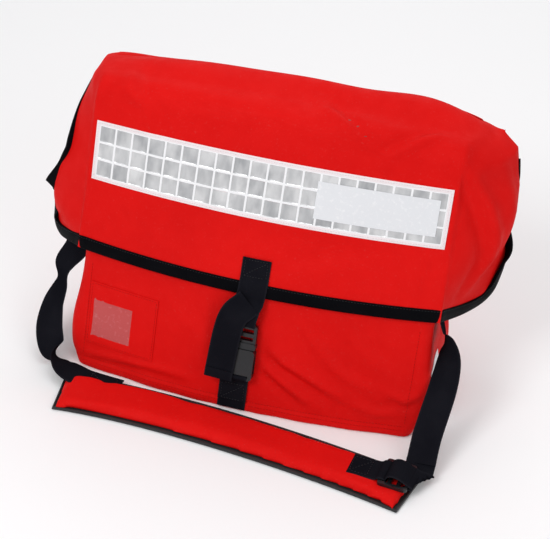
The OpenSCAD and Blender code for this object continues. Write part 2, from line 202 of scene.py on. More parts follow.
def new_piece(name: str, verts: np.ndarray, faces: Sequence[Sequence[int]],
              uvs: np.ndarray | None = None, sharp: float = 50.0) -> bpy.types.Object:
    """Mesh object in the scene.

    Args:
        name: Name of the piece.
        verts: Corner points in mm.
        faces: Corner numbers of each face.
        uvs: Two numbers for each corner point, or nothing.
        sharp: Angle in degrees over which an edge is drawn sharp.

    Returns:
        The new object.
    """
    mesh = bpy.data.meshes.new(name)
    mesh.from_pydata((np.asarray(verts, float) * MM).tolist(), [], [list(f) for f in faces])
    if uvs is not None:
        layer = mesh.uv_layers.new(name="weave")
        index = np.empty(len(mesh.loops), int)
        mesh.loops.foreach_get("vertex_index", index)
        layer.data.foreach_set("uv", np.asarray(uvs, float)[index].ravel())
    mesh.polygons.foreach_set("use_smooth", [True] * len(mesh.polygons))
    mesh.update()
    mesh.set_sharp_from_angle(angle=math.radians(sharp))
    piece = bpy.data.objects.new(name, mesh)
    bpy.context.scene.collection.objects.link(piece)
    return piece


def sheet_normals(points: np.ndarray, wrap: bool, side: float) -> np.ndarray:
    """Outward direction at each point of a grid.

    Args:
        points: Rows by columns by 3.
        wrap: Whether the last column joins the first.
        side: 1, or -1 to turn the directions round.

    Returns:
        Array of the same shape as points.
    """
    if wrap:
        du = np.roll(points, -1, axis=1) - np.roll(points, 1, axis=1)
    else:
        du = np.gradient(points, axis=1)
    dv = np.gradient(points, axis=0)
    return unit(np.cross(du, dv)) * side


def cloth(name: str, points: np.ndarray, thick: float, wrap: bool = False, side: float = 1.0,
          lift: np.ndarray | None = None, cap: bool = False,
          uvs: np.ndarray | None = None) -> bpy.types.Object:
    """Sheet of cloth with thickness from a grid of points on its outer face.

    Args:
        name: Name of the piece.
        points: Rows by columns by 3, mm.
        thick: Thickness inwards, mm.
        wrap: Whether the last column joins the first.
        side: 1 where columns by rows points outwards, else -1.
        lift: Height added outwards at each point, mm.
        cap: Whether the first row is closed with one face, as on a bag's base.
        uvs: Rows by columns by 2, or nothing for distances in metres.

    Returns:
        The new object.
    """
    points = np.asarray(points, float)
    if lift is not None:
        points = points + sheet_normals(points, wrap, side) * lift[..., None]
    normals = sheet_normals(points, wrap, side)
    rows, cols = points.shape[:2]
    inner = points - normals * thick
    verts = np.concatenate([points.reshape(-1, 3), inner.reshape(-1, 3)])
    layer = rows * cols
    faces: list[list[int]] = []
    last = cols if wrap else cols - 1

    def quad(a: int, b: int, c: int, d: int) -> None:
        """Add a face, turned the right way round for this sheet's side."""
        faces.append([a, b, c, d] if side > 0 else [d, c, b, a])

    for r in range(rows - 1):
        for c in range(last):
            n = (c + 1) % cols
            a, b, d, e = r * cols + c, r * cols + n, (r + 1) * cols + n, (r + 1) * cols + c
            quad(a, b, d, e)
            quad(layer + e, layer + d, layer + b, layer + a)
    for c in range(last):
        n = (c + 1) % cols
        if not cap:
            quad(layer + c, layer + n, n, c)
        top = (rows - 1) * cols
        quad(top + c, top + n, layer + top + n, layer + top + c)
    if cap:
        faces.append(list(range(cols))[::-1])
        faces.append([layer + c for c in range(cols)])
    if not wrap:
        for r in range(rows - 1):
            a, b = r * cols, (r + 1) * cols
            quad(a, b, layer + b, layer + a)
            a, b = a + cols - 1, b + cols - 1
            quad(layer + a, layer + b, b, a)
    if uvs is None:
        across = np.concatenate([np.zeros((rows, 1)), np.cumsum(
            np.linalg.norm(np.diff(points, axis=1), axis=2), axis=1)], axis=1)
        along = np.concatenate([np.zeros((1, cols)), np.cumsum(
            np.linalg.norm(np.diff(points, axis=0), axis=2), axis=0)], axis=0)
        uvs = np.stack([across, along], axis=2) * MM
    flat = np.concatenate([uvs.reshape(-1, 2)] * 2)
    return new_piece(name, verts, faces, flat)


def loft(name: str, rings: np.ndarray, uvs: np.ndarray | None = None,
         sharp: float = 50.0) -> bpy.types.Object:
    """Closed solid through rings of points, with both ends closed.

    Args:
        name: Name of the piece.
        rings: Rings by points by 3, mm.
        uvs: Rings by points by 2, or nothing.
        sharp: Angle in degrees over which an edge is drawn sharp.

    Returns:
        The new object.
    """
    count, size = rings.shape[:2]
    faces = [[r * size + c, r * size + (c + 1) % size, (r + 1) * size + (c + 1) % size,
              (r + 1) * size + c] for r in range(count - 1) for c in range(size)]
    faces.append(list(range(size))[::-1])
    faces.append([(count - 1) * size + c for c in range(size)])
    return new_piece(name, rings.reshape(-1, 3), faces,
                     None if uvs is None else uvs.reshape(-1, 2), sharp)


def webbing(name: str, stations: Sequence[Sequence[float]], width: float, thick: float,
            step: float = 2.5) -> bpy.types.Object:
    """Strip of woven webbing with rounded edges along a smooth route.

    Args:
        name: Name of the piece.
        stations: Rows of x, y, z of the middle and x, y, z of the direction across it.
        width: Width of the webbing, mm.
        thick: Thickness of the webbing, mm.
        step: Distance between cross-sections, mm.

    Returns:
        The new object.
    """
    route = smooth_path(stations, step)
    middle, across = route[:, :3], route[:, 3:6]
    along = unit(np.gradient(middle, axis=0))
    across = unit(across - np.sum(across * along, axis=1, keepdims=True) * along)
    face = np.cross(across, along)
    shares = [-0.5, -0.47, -0.4, -0.2, 0.0, 0.2, 0.4, 0.47, 0.5]
    top = [(s, (0.28 if abs(s) > 0.49 else 0.9 if abs(s) > 0.45 else 1.0)) for s in shares]
    section = top + [(s, -h) for s, h in reversed(top)]
    rings = np.stack([middle + across * (s * width) + face * (h * thick / 2)
                      for s, h in section], axis=1)
    run = np.concatenate([[0], np.cumsum(np.linalg.norm(np.diff(middle, axis=0), axis=1))]) * MM
    uvs = np.stack([np.stack([np.full_like(run, s + 0.5), run], axis=1)
                    for s, _ in section], axis=1)
    return loft(name, rings[:, ::-1], uvs[:, ::-1], 40.0)


def edge_tape(name: str, edge: np.ndarray, inward: np.ndarray, outward: np.ndarray,
              width: float, over: float, under: float) -> bpy.types.Object:
    """Tape folded round the edge of a sheet.

    Args:
        name: Name of the piece.
        edge: Points along the sheet's edge, mm.
        inward: Direction from each point into the sheet.
        outward: Direction off the sheet's outer face at each point.
        width: Width of the tape's visible face, mm.
        over: Height of its outer face over the edge points, mm.
        under: Depth of its inner face under them, mm.

    Returns:
        The new object.
    """
    section = [(width, over * 0.82), (width - 0.5, over), (width * 0.5, over + 0.35), (1.6, over),
               (0.0, over * 0.75), (-0.9, (over - under) * 0.5), (0.0, -under * 0.75),
               (1.6, -under), (width - 0.5, -under), (width, -under * 0.82)]
    rings = np.stack([edge + inward * i + outward * o for i, o in section], axis=1)
    run = np.concatenate([[0], np.cumsum(np.linalg.norm(np.diff(edge, axis=0), axis=1))]) * MM
    wide = np.linspace(0, 1, len(section))
    uvs = np.stack([np.stack([np.full_like(run, w), run], axis=1) for w in wide], axis=1)
    return loft(name, rings, uvs, 60.0)


class Stitches:
    """Rows of sewing thread that become one piece."""

    def __init__(self, name: str, length: float = 2.6, gap: float = 1.3,
                 radius: float = 0.32) -> None:
        """Start an empty set of rows; all sizes are in mm."""
        self.name = name
        self.length = length
        self.gap = gap
        self.radius = radius
        self.verts: list[np.ndarray] = []
        self.faces: list[list[int]] = []

    def row(self, points: np.ndarray, normals: np.ndarray) -> None:
        """Add a row of stitches.

        Args:
            points: Points that the row follows on the cloth, mm.
            normals: Outward direction at each point.
        """
        run = np.concatenate([[0], np.cumsum(np.linalg.norm(np.diff(points, axis=0), axis=1))])
        pitch = self.length + self.gap
        count = int(run[-1] / pitch)
        for k in range(count):
            ends = np.array([k * pitch + self.gap / 2, k * pitch + self.gap / 2 + self.length])
            place = np.stack([np.interp(ends, run, points[:, i]) for i in range(3)], axis=1)
            out = unit(np.stack([np.interp(ends.mean(), run, normals[:, i]) for i in range(3)]))
            along = unit(place[1] - place[0])
            across = np.cross(out, along)
            self._stitch(place, out, along, across)

    def path(self, corners: Sequence[Pair], count: int,
             place: Callable[[np.ndarray, np.ndarray], np.ndarray], out: Any) -> None:
        """Add a row of stitches along each straight run between corners.

        Args:
            corners: Corners in the surface's own two directions, mm.
            count: Number of points along each run.
            place: Gives points on the surface from those two directions.
            out: Outward direction of the whole surface.
        """
        s = np.linspace(0, 1, count)
        for (a, b), (c, d) in zip(corners[:-1], corners[1:]):
            self.row(place(mix(a, c, s), mix(b, d, s)), np.tile(out, (count, 1)))

    def _stitch(self, place: np.ndarray, out: np.ndarray, along: np.ndarray,
                across: np.ndarray) -> None:
        """Add one stitch between two places."""
        first = len(self.verts) * 10
        middle = [mix(place[0], place[1], t) for t in (0.22, 0.78)]
        ring = [across, out, -across, -out * 0.6]
        corners = [place[0] - along * 0.1] + [m + d * self.radius for m in middle for d in ring]
        corners.append(place[1] + along * 0.1)
        self.verts.append(np.array(corners))
        for i in range(4):
            n = (i + 1) % 4
            self.faces.append([first, first + 1 + n, first + 1 + i])
            self.faces.append([first + 1 + i, first + 1 + n, first + 5 + n, first + 5 + i])
            self.faces.append([first + 9, first + 5 + i, first + 5 + n])

    def build(self) -> bpy.types.Object:
        """Make the piece from all rows so far."""
        return new_piece(self.name, np.concatenate(self.verts), self.faces, None, 180.0)


# ---- Shader graphs -----------------------------------------------------------


class Graph:
    """Short way to add and join shader nodes in one tree."""

    def __init__(self, tree: bpy.types.NodeTree) -> None:
        """Keep the tree that nodes are added to."""
        self.tree = tree

    def node(self, kind: str, inputs: dict[Any, Any] | None = None,
             **settings: Any) -> bpy.types.Node:
        """Add a node.

        Args:
            kind: Blender's name for the node type.
            inputs: Values or sockets for the node's inputs, by name or number.
            **settings: Properties of the node.

        Returns:
            The new node.
        """
        made = self.tree.nodes.new(kind)
        for key, value in settings.items():
            setattr(made, key, value)
        for key, value in (inputs or {}).items():
            self.feed(made.inputs[key], value)
        return made

    def feed(self, socket: bpy.types.NodeSocket, value: Any) -> None:
        """Link a socket to an input, or set the input's own value."""
        if isinstance(value, bpy.types.NodeSocket):
            self.tree.links.new(value, socket)
        else:
            socket.default_value = value

    def math(self, operation: str, *values: Any) -> bpy.types.NodeSocket:
        """Result of a Math node on one to three values."""
        made = self.node("ShaderNodeMath", dict(enumerate(values)), operation=operation)
        return made.outputs[0]

    def span(self, value: Any, low: float, high: float, to_low: float = 0.0,
             to_high: float = 1.0) -> bpy.types.NodeSocket:
        """Value moved from one range to another, held inside the second."""
        made = self.node("ShaderNodeMapRange", {"Value": value, "From Min": low,
                                                "From Max": high, "To Min": to_low,
                                                "To Max": to_high})
        return made.outputs[0]

    def blend(self, share: Any, first: Any, second: Any) -> bpy.types.NodeSocket:
        """Colour between two colours."""
        made = self.node("ShaderNodeMix", {0: share, 6: first, 7: second}, data_type="RGBA")
        return made.outputs[2]

    def noise(self, vector: Any, scale: float, detail: float = 3.0) -> bpy.types.NodeSocket:
        """Even noise between about 0.3 and 0.7."""
        made = self.node("ShaderNodeTexNoise", {"Vector": vector, "Scale": scale,
                                                "Detail": detail})
        return made.outputs["Fac"]


SocketList = Sequence[tuple[str, str, Any]]


def node_group(name: str, inputs: SocketList, outputs: SocketList,
               fill: Callable[[Graph, Any, Any], None]) -> bpy.types.NodeTree:
    """Shader node group that is built once.

    Args:
        name: Name of the group.
        inputs: Name, socket type and starting value of each input.
        outputs: Name, socket type and None for each output.
        fill: Function that adds the nodes between the input and output nodes.

    Returns:
        The group's node tree.
    """
    made = bpy.data.node_groups.get(name)
    if made is not None:
        return made
    made = bpy.data.node_groups.new(name, "ShaderNodeTree")
    for label, kind, start in inputs:
        socket = made.interface.new_socket(label, in_out="INPUT", socket_type=kind)
        if start is not None:
            socket.default_value = start
    for label, kind, _ in outputs:
        made.interface.new_socket(label, in_out="OUTPUT", socket_type=kind)
    graph = Graph(made)
    fill(graph, graph.node("NodeGroupInput").outputs, graph.node("NodeGroupOutput").inputs)
    return made


FLOAT, COLOR = "NodeSocketFloat", "NodeSocketColor"


def plain_weave_group() -> bpy.types.NodeTree:
    """Plain-woven nylon: thread relief, uneven dye, soft flecks of dust."""

    def fill(g: Graph, given: Any, result: Any) -> None:
        """Add the nodes of the weave."""
        place = g.node("ShaderNodeTexCoord").outputs["Object"]
        axes = g.node("ShaderNodeSeparateXYZ", {0: place}).outputs
        waves = [g.math("SINE", g.math("DIVIDE", g.math("MULTIPLY", axis, TURN),
                                       given["Thread"])) for axis in axes]
        pairs = [g.math("MULTIPLY", waves[i], waves[(i + 1) % 3]) for i in range(3)]
        threads = g.math("ADD", g.math("ADD", pairs[0], pairs[1]), pairs[2])
        broad = g.noise(place, 7.0, 2.0)
        small = g.noise(place, 55.0, 4.0)
        uneven = g.math("ADD", g.span(broad, 0.3, 0.7, 0.0, 0.75),
                        g.span(small, 0.35, 0.65, 0.0, 0.25))
        shade = g.math("MULTIPLY", uneven, given["Uneven"])
        tone = g.blend(shade, given["Color"], given["Deep"])
        fleck = g.math("MULTIPLY", g.span(g.noise(place, 420.0, 2.0), 0.62, 0.8),
                       given["Dust"])
        g.feed(result["Color"], g.blend(fleck, tone, (0.62, 0.42, 0.38, 1.0)))
        g.feed(result["Roughness"], g.span(small, 0.3, 0.7, 0.52, 0.68))
        g.feed(result["Height"], g.math("ADD", g.math("MULTIPLY", threads, 0.22),
                                        g.math("MULTIPLY", small, 0.5)))

    return node_group("plain_weave", [("Color", COLOR, None), ("Deep", COLOR, None),
                                      ("Thread", FLOAT, 0.0011), ("Uneven", FLOAT, 0.5),
                                      ("Dust", FLOAT, 0.1)],
                      [("Color", COLOR, None), ("Roughness", FLOAT, None),
                       ("Height", FLOAT, None)], fill)


def rib_weave_group() -> bpy.types.NodeTree:
    """Ribbed webbing or tape: slanted threads in lanes, and paler worn edges."""

    def fill(g: Graph, given: Any, result: Any) -> None:
        """Add the nodes of the ribs."""
        uv = g.node("ShaderNodeUVMap", uv_map="weave").outputs[0]
        axes = g.node("ShaderNodeSeparateXYZ", {0: uv}).outputs
        lanes = g.math("PINGPONG", g.math("MULTIPLY", axes[0], given["Lanes"]), 1.0)
        slant = g.math("MULTIPLY", lanes, 3.0)
        ribs = g.math("SINE", g.math("ADD", g.math("MULTIPLY", axes[1],
                                                   g.math("DIVIDE", TURN, given["Rib"])), slant))
        lane_rim = g.math("SINE", g.math("MULTIPLY", g.math("MULTIPLY", axes[0],
                                                            given["Lanes"]), TURN))
        height = g.math("ADD", g.math("MULTIPLY", ribs, 0.5), g.math("MULTIPLY", lane_rim, 0.3))
        edge = g.span(g.math("ABSOLUTE", g.math("SUBTRACT", axes[0], 0.5)), 0.43, 0.5)
        place = g.node("ShaderNodeTexCoord").outputs["Object"]
        patchy = g.span(g.noise(place, 24.0, 4.0), 0.4, 0.65)
        worn = g.math("MULTIPLY", g.math("ADD", g.math("MULTIPLY", edge, 0.8),
                                         g.math("MULTIPLY", patchy, 0.35)), given["Wear"])
        g.feed(result["Color"], g.blend(worn, given["Color"], given["Pale"]))
        g.feed(result["Roughness"], g.span(ribs, -1.0, 1.0, 0.62, 0.48))
        g.feed(result["Height"], height)

    return node_group("rib_weave", [("Color", COLOR, None), ("Pale", COLOR, None),
                                    ("Rib", FLOAT, 0.0021), ("Lanes", FLOAT, 8.0),
                                    ("Wear", FLOAT, 0.4)],
                      [("Color", COLOR, None), ("Roughness", FLOAT, None),
                       ("Height", FLOAT, None)], fill)


def cell_film_group() -> bpy.types.NodeTree:
    """Prismatic film welded into square cells, each cell turned its own way; the cell-by-cell
    brightness and the streaks in its colour are painted glints.
    """

    def fill(g: Graph, given: Any, result: Any) -> None:
        """Add the nodes of the film."""
        uv = g.node("ShaderNodeUVMap", uv_map="weave").outputs[0]
        whole = g.node("ShaderNodeVectorMath", {0: uv}, operation="FLOOR").outputs[0]
        part = g.node("ShaderNodeVectorMath", {0: uv}, operation="FRACTION").outputs[0]
        axes = g.node("ShaderNodeSeparateXYZ", {0: part}).outputs
        rims = [g.math("ABSOLUTE", g.math("SUBTRACT", axes[i], 0.5)) for i in range(2)]
        weld = g.span(g.math("MAXIMUM", rims[0], rims[1]), 0.435, 0.452)
        chance = g.node("ShaderNodeTexWhiteNoise", {"Vector": whole},
                        noise_dimensions="2D").outputs["Value"]
        place = g.node("ShaderNodeTexCoord").outputs["Object"]
        crumple = g.noise(place, 130.0, 2.0)
        painted_reflection_streak = g.noise(g.node("ShaderNodeVectorMath", {0: place, 1: (1.0, 1.0, 0.35)},
                                operation="MULTIPLY").outputs[0], 60.0, 3.0)
        # painted glint: a random brightness for each cell plus stretched streaks, standing in for
        # light reflected by the prisms
        painted_glint = g.math("ADD", g.math("MULTIPLY", chance, 0.45),
                       g.span(painted_reflection_streak, 0.36, 0.66, 0.0, 0.7))
        film = g.blend(g.math("MULTIPLY", painted_glint, given["Contrast"]), given["Light"], given["Dark"])
        g.feed(result["Color"], g.blend(weld, film, given["Weld"]))
        g.feed(result["Roughness"], g.span(weld, 0.0, 1.0, 0.24, 0.5))
        g.feed(result["Metallic"], g.span(weld, 0.0, 1.0, given["Metal"], 0.0))
        fine = g.node("ShaderNodeTexVoronoi", {"Vector": place, "Scale": 900.0},
                      feature="F1").outputs["Distance"]
        g.feed(result["Height"], g.math("ADD", g.math("MULTIPLY", fine, 0.4),
                                        g.math("MULTIPLY", crumple, 1.2)))

    return node_group("cell_film", [("Light", COLOR, None), ("Dark", COLOR, None),
                                    ("Weld", COLOR, None), ("Contrast", FLOAT, 0.8),
                                    ("Metal", FLOAT, 0.4)],
                      [("Color", COLOR, None), ("Roughness", FLOAT, None),
                       ("Metallic", FLOAT, None), ("Height", FLOAT, None)], fill)


def moulded_group() -> bpy.types.NodeTree:
    """Moulded plastic: fine grain, faint flow marks and scuffs."""

    def fill(g: Graph, given: Any, result: Any) -> None:
        """Add the nodes of the grain."""
        place = g.node("ShaderNodeTexCoord").outputs["Object"]
        grain = g.noise(place, 1400.0, 2.0)
        flow = g.noise(place, 38.0, 3.0)
        scuff = g.math("MULTIPLY", g.span(g.noise(place, 210.0, 5.0), 0.56, 0.7), given["Scuff"])
        g.feed(result["Color"], g.blend(scuff, given["Color"], given["Pale"]))
        g.feed(result["Roughness"], g.math("ADD", g.span(flow, 0.35, 0.65, 0.3, 0.42),
                                           g.math("MULTIPLY", scuff, 0.3)))
        g.feed(result["Height"], g.math("ADD", grain, g.math("MULTIPLY", flow, 0.4)))

    return node_group("moulded", [("Color", COLOR, None), ("Pale", COLOR, None),
                                  ("Scuff", FLOAT, 0.3)],
                      [("Color", COLOR, None), ("Roughness", FLOAT, None),
                       ("Height", FLOAT, None)], fill)


# ---- Finishes ----------------------------------------------------------------


class Slot(Enum):
    """Material slots of the record."""

    CLOTH = "red_cloth"
    LINING = "red_lining"
    BINDING = "black_binding"
    WEBBING = "black_webbing"
    TAPE = "reflective_border"
    CELLS = "reflective_cells"
    PANEL = "reflective_panel"
    FILM = "window_film"
    PLASTIC = "black_plastic"
    BOARD = "board"


@dataclass(frozen=True)
class Finish:
    """One surface finish: a node group with its own values under a Principled shader."""

    name: str
    slot: Slot
    group: Callable[[], bpy.types.NodeTree]
    values: tuple[tuple[str, Any], ...]
    bump: float = 0.3
    depth: float = 0.0003
    fixed: tuple[tuple[str, Any], ...] = ()

    def material(self) -> bpy.types.Material:
        """Material of this finish, made the first time that it is asked for."""
        made = bpy.data.materials.get(self.name)
        if made is not None:
            return made
        made = bpy.data.materials.new(self.name)
        made.use_nodes = True
        made.node_tree.nodes.clear()
        g = Graph(made.node_tree)
        effect = g.node("ShaderNodeGroup", node_tree=self.group())
        for key, value in self.values:
            effect.inputs[key].default_value = value
        shader = g.node("ShaderNodeBsdfPrincipled")
        links = (("Color", "Base Color"), ("Roughness", "Roughness"), ("Metallic", "Metallic"))
        for source, target in links:
            if source in effect.outputs:
                g.feed(shader.inputs[target], effect.outputs[source])
        relief = g.node("ShaderNodeBump", {"Strength": self.bump, "Distance": self.depth,
                                           "Height": effect.outputs["Height"]})
        g.feed(shader.inputs["Normal"], relief.outputs[0])
        for key, value in self.fixed:
            shader.inputs[key].default_value = value
        g.node("ShaderNodeOutputMaterial", {"Surface": shader.outputs[0]})
        return made

    def dress(self, piece: bpy.types.Object) -> bpy.types.Object:
        """Put this finish on a piece."""
        piece.data.materials.clear()
        piece.data.materials.append(self.material())
        return piece


def rgb(r: float, g: float, b: float) -> tuple[float, float, float, float]:
    """Colour with full cover."""
    return (r, g, b, 1.0)


SHEEN = (("Sheen Weight", 0.0), ("Sheen Roughness", 0.45), ("Specular IOR Level", 0.06))
RED = Finish("red_nylon_look", Slot.CLOTH, plain_weave_group,
             (("Color", rgb(0.71, 0.006, 0.005)), ("Deep", rgb(0.55, 0.003, 0.003)),
              ("Thread", 0.0011), ("Uneven", 0.5), ("Dust", 0.05)),
             0.35, 0.0004, SHEEN)
RED_LINING = Finish("red_coated_lining_look", Slot.LINING, plain_weave_group,
                    (("Color", rgb(0.42, 0.012, 0.010)), ("Deep", rgb(0.28, 0.006, 0.006)),
                     ("Thread", 0.0014), ("Uneven", 0.7), ("Dust", 0.12)),
                    0.3, 0.0004, (("Coat Weight", 0.12), ("Coat Roughness", 0.35)))
RED_THREAD = Finish("red_thread_look", Slot.CLOTH, plain_weave_group,
                    (("Color", rgb(0.50, 0.008, 0.006)), ("Deep", rgb(0.34, 0.004, 0.004)),
                     ("Thread", 0.0006), ("Uneven", 0.6), ("Dust", 0.0)),
                    0.4, 0.0002, SHEEN)
BLACK_TAPE = Finish("black_binding_tape_look", Slot.BINDING, rib_weave_group,
                    (("Color", rgb(0.002, 0.002, 0.003)), ("Pale", rgb(0.008, 0.008, 0.011)),
                     ("Rib", 0.0016), ("Lanes", 3.0), ("Wear", 0.35)),
                    0.6, 0.0005, (("Sheen Weight", 0.0), ("Specular IOR Level", 0.03)))
BLACK_WEB = Finish("black_webbing_look", Slot.WEBBING, rib_weave_group,
                   (("Color", rgb(0.007, 0.007, 0.010)), ("Pale", rgb(0.022, 0.022, 0.028)),
                    ("Rib", 0.0024), ("Lanes", 9.0), ("Wear", 0.5)),
                   0.35, 0.0004, (("Sheen Weight", 0.0), ("Specular IOR Level", 0.0)))
BLACK_THREAD = Finish("black_thread_look", Slot.WEBBING, moulded_group,
                      (("Color", rgb(0.010, 0.010, 0.013)), ("Pale", rgb(0.016, 0.016, 0.02)),
                       ("Scuff", 0.3)), 0.2, 0.0002)
BLACK_BACKING = Finish("black_backing_cloth_look", Slot.WEBBING, plain_weave_group,
                       (("Color", rgb(0.008, 0.008, 0.010)), ("Deep", rgb(0.006, 0.006, 0.007)),
                        ("Thread", 0.0015), ("Uneven", 0.6), ("Dust", 0.06)),
                       0.4, 0.0005, (("Sheen Weight", 0.08),))
PALE_THREAD = Finish("pale_thread_look", Slot.TAPE, moulded_group,
                     (("Color", rgb(0.70, 0.60, 0.62)), ("Pale", rgb(0.80, 0.72, 0.74)),
                      ("Scuff", 0.3)), 0.2, 0.0002)
PALE_TAPE = Finish("pale_border_tape_look", Slot.TAPE, rib_weave_group,
                   (("Color", rgb(0.86, 0.78, 0.80)), ("Pale", rgb(0.80, 0.62, 0.64)),
                    ("Rib", 0.0012), ("Lanes", 2.0), ("Wear", 0.4)),
                   0.5, 0.0003, (("Specular IOR Level", 0.4),))
# Light and Dark are the colours of the painted glint on the cells: film catching reflected light,
# and film without it.
CELL_FILM = Finish("prismatic_cell_film_look", Slot.CELLS, cell_film_group,
                   (("Light", rgb(0.82, 0.82, 0.83)), ("Dark", rgb(0.30, 0.31, 0.33)),
                    ("Weld", rgb(0.86, 0.86, 0.88)), ("Contrast", 0.75), ("Metal", 0.35)),
                   0.35, 0.0005, (("Coat Weight", 0.6), ("Coat Roughness", 0.12)))
PLAIN_FILM = Finish("plain_print_film_look", Slot.PANEL, moulded_group,
                    (("Color", rgb(0.74, 0.75, 0.78)), ("Pale", rgb(0.84, 0.84, 0.86)),
                     ("Scuff", 0.7)), 0.12, 0.0003,
                    (("Coat Weight", 0.5), ("Coat Roughness", 0.18)))
CLEAR_FILM = Finish("clear_window_film_look", Slot.FILM, moulded_group,
                    (("Color", rgb(0.52, 0.026, 0.026)), ("Pale", rgb(0.62, 0.12, 0.12)),
                     ("Scuff", 0.5)), 0.15, 0.0004,
                    (("Coat Weight", 1.0), ("Coat Roughness", 0.08), ("Alpha", 0.92)))
REFLECT_PATCH = Finish("gusset_reflective_film_look", Slot.CELLS, moulded_group,
                       (("Color", rgb(0.72, 0.73, 0.76)), ("Pale", rgb(0.82, 0.83, 0.85)),
                        ("Scuff", 0.4)), 0.2, 0.0003,
                       (("Coat Weight", 0.4), ("Coat Roughness", 0.2)))
PLASTIC = Finish("black_moulded_plastic_look", Slot.PLASTIC, moulded_group,
                 (("Color", rgb(0.006, 0.006, 0.008)), ("Pale", rgb(0.020, 0.020, 0.024)),
                  ("Scuff", 0.35)), 0.12, 0.0003, (("Specular IOR Level", 0.5),))
BOARD = Finish("grey_board_look", Slot.BOARD, moulded_group,
               (("Color", rgb(0.16, 0.15, 0.14)), ("Pale", rgb(0.24, 0.23, 0.21)),
                ("Scuff", 0.8)), 0.3, 0.0004)


# ---- Shape of the pouch ------------------------------------------------------


@dataclass(frozen=True)
class WingShape:
    """How one side wing of the flap hangs: its free edge and its reach at each height."""

    edge: tuple[Pair, ...]
    reach: tuple[float, ...]
    slow_span: float
    fast_span: float
    turn_z: Pair
    curl_z: Pair
    curl: float
    slow_power: float
    heights: tuple[float, ...] = (120, 137, 150, 180, 215, 240, 270, 300, 345, 366)

    def x(self, y: Any, z: Any, seam_y: Any) -> Any:
        """Sideways reach of the cloth outside the front seam at y, z."""
        back = y - seam_y
        slow = np.clip(back / self.slow_span, 0, 1) ** self.slow_power
        fast = bow(np.clip(back / self.fast_span, 0, 1))
        return np.interp(z, self.heights, self.reach) * mix(slow, fast, ease(z, *self.turn_z))


LEFT_WING = WingShape(
    ((-39.4, 158.8), (-15, 148), (3, 142), (14, 147), (20, 162), (22, 186), (22, 222), (29, 262),
     (52, 308), (85, 343), (117, 360)),
    (47, 51, 55, 58, 59, 57, 51, 40, 24, 16), 56, 48, (150, 200), (186, 246), 17, 1.0)
RIGHT_WING = WingShape(
    ((-39.4, 158.8), (-8, 146), (24, 138), (54, 138), (68, 154), (77, 184), (92, 236),
     (103, 284), (112, 326), (117, 360)),
    (40, 47, 53, 59, 62, 63, 64, 62, 50, 22), 108, 80, (150, 260), (195, 240), 15, 1.4)


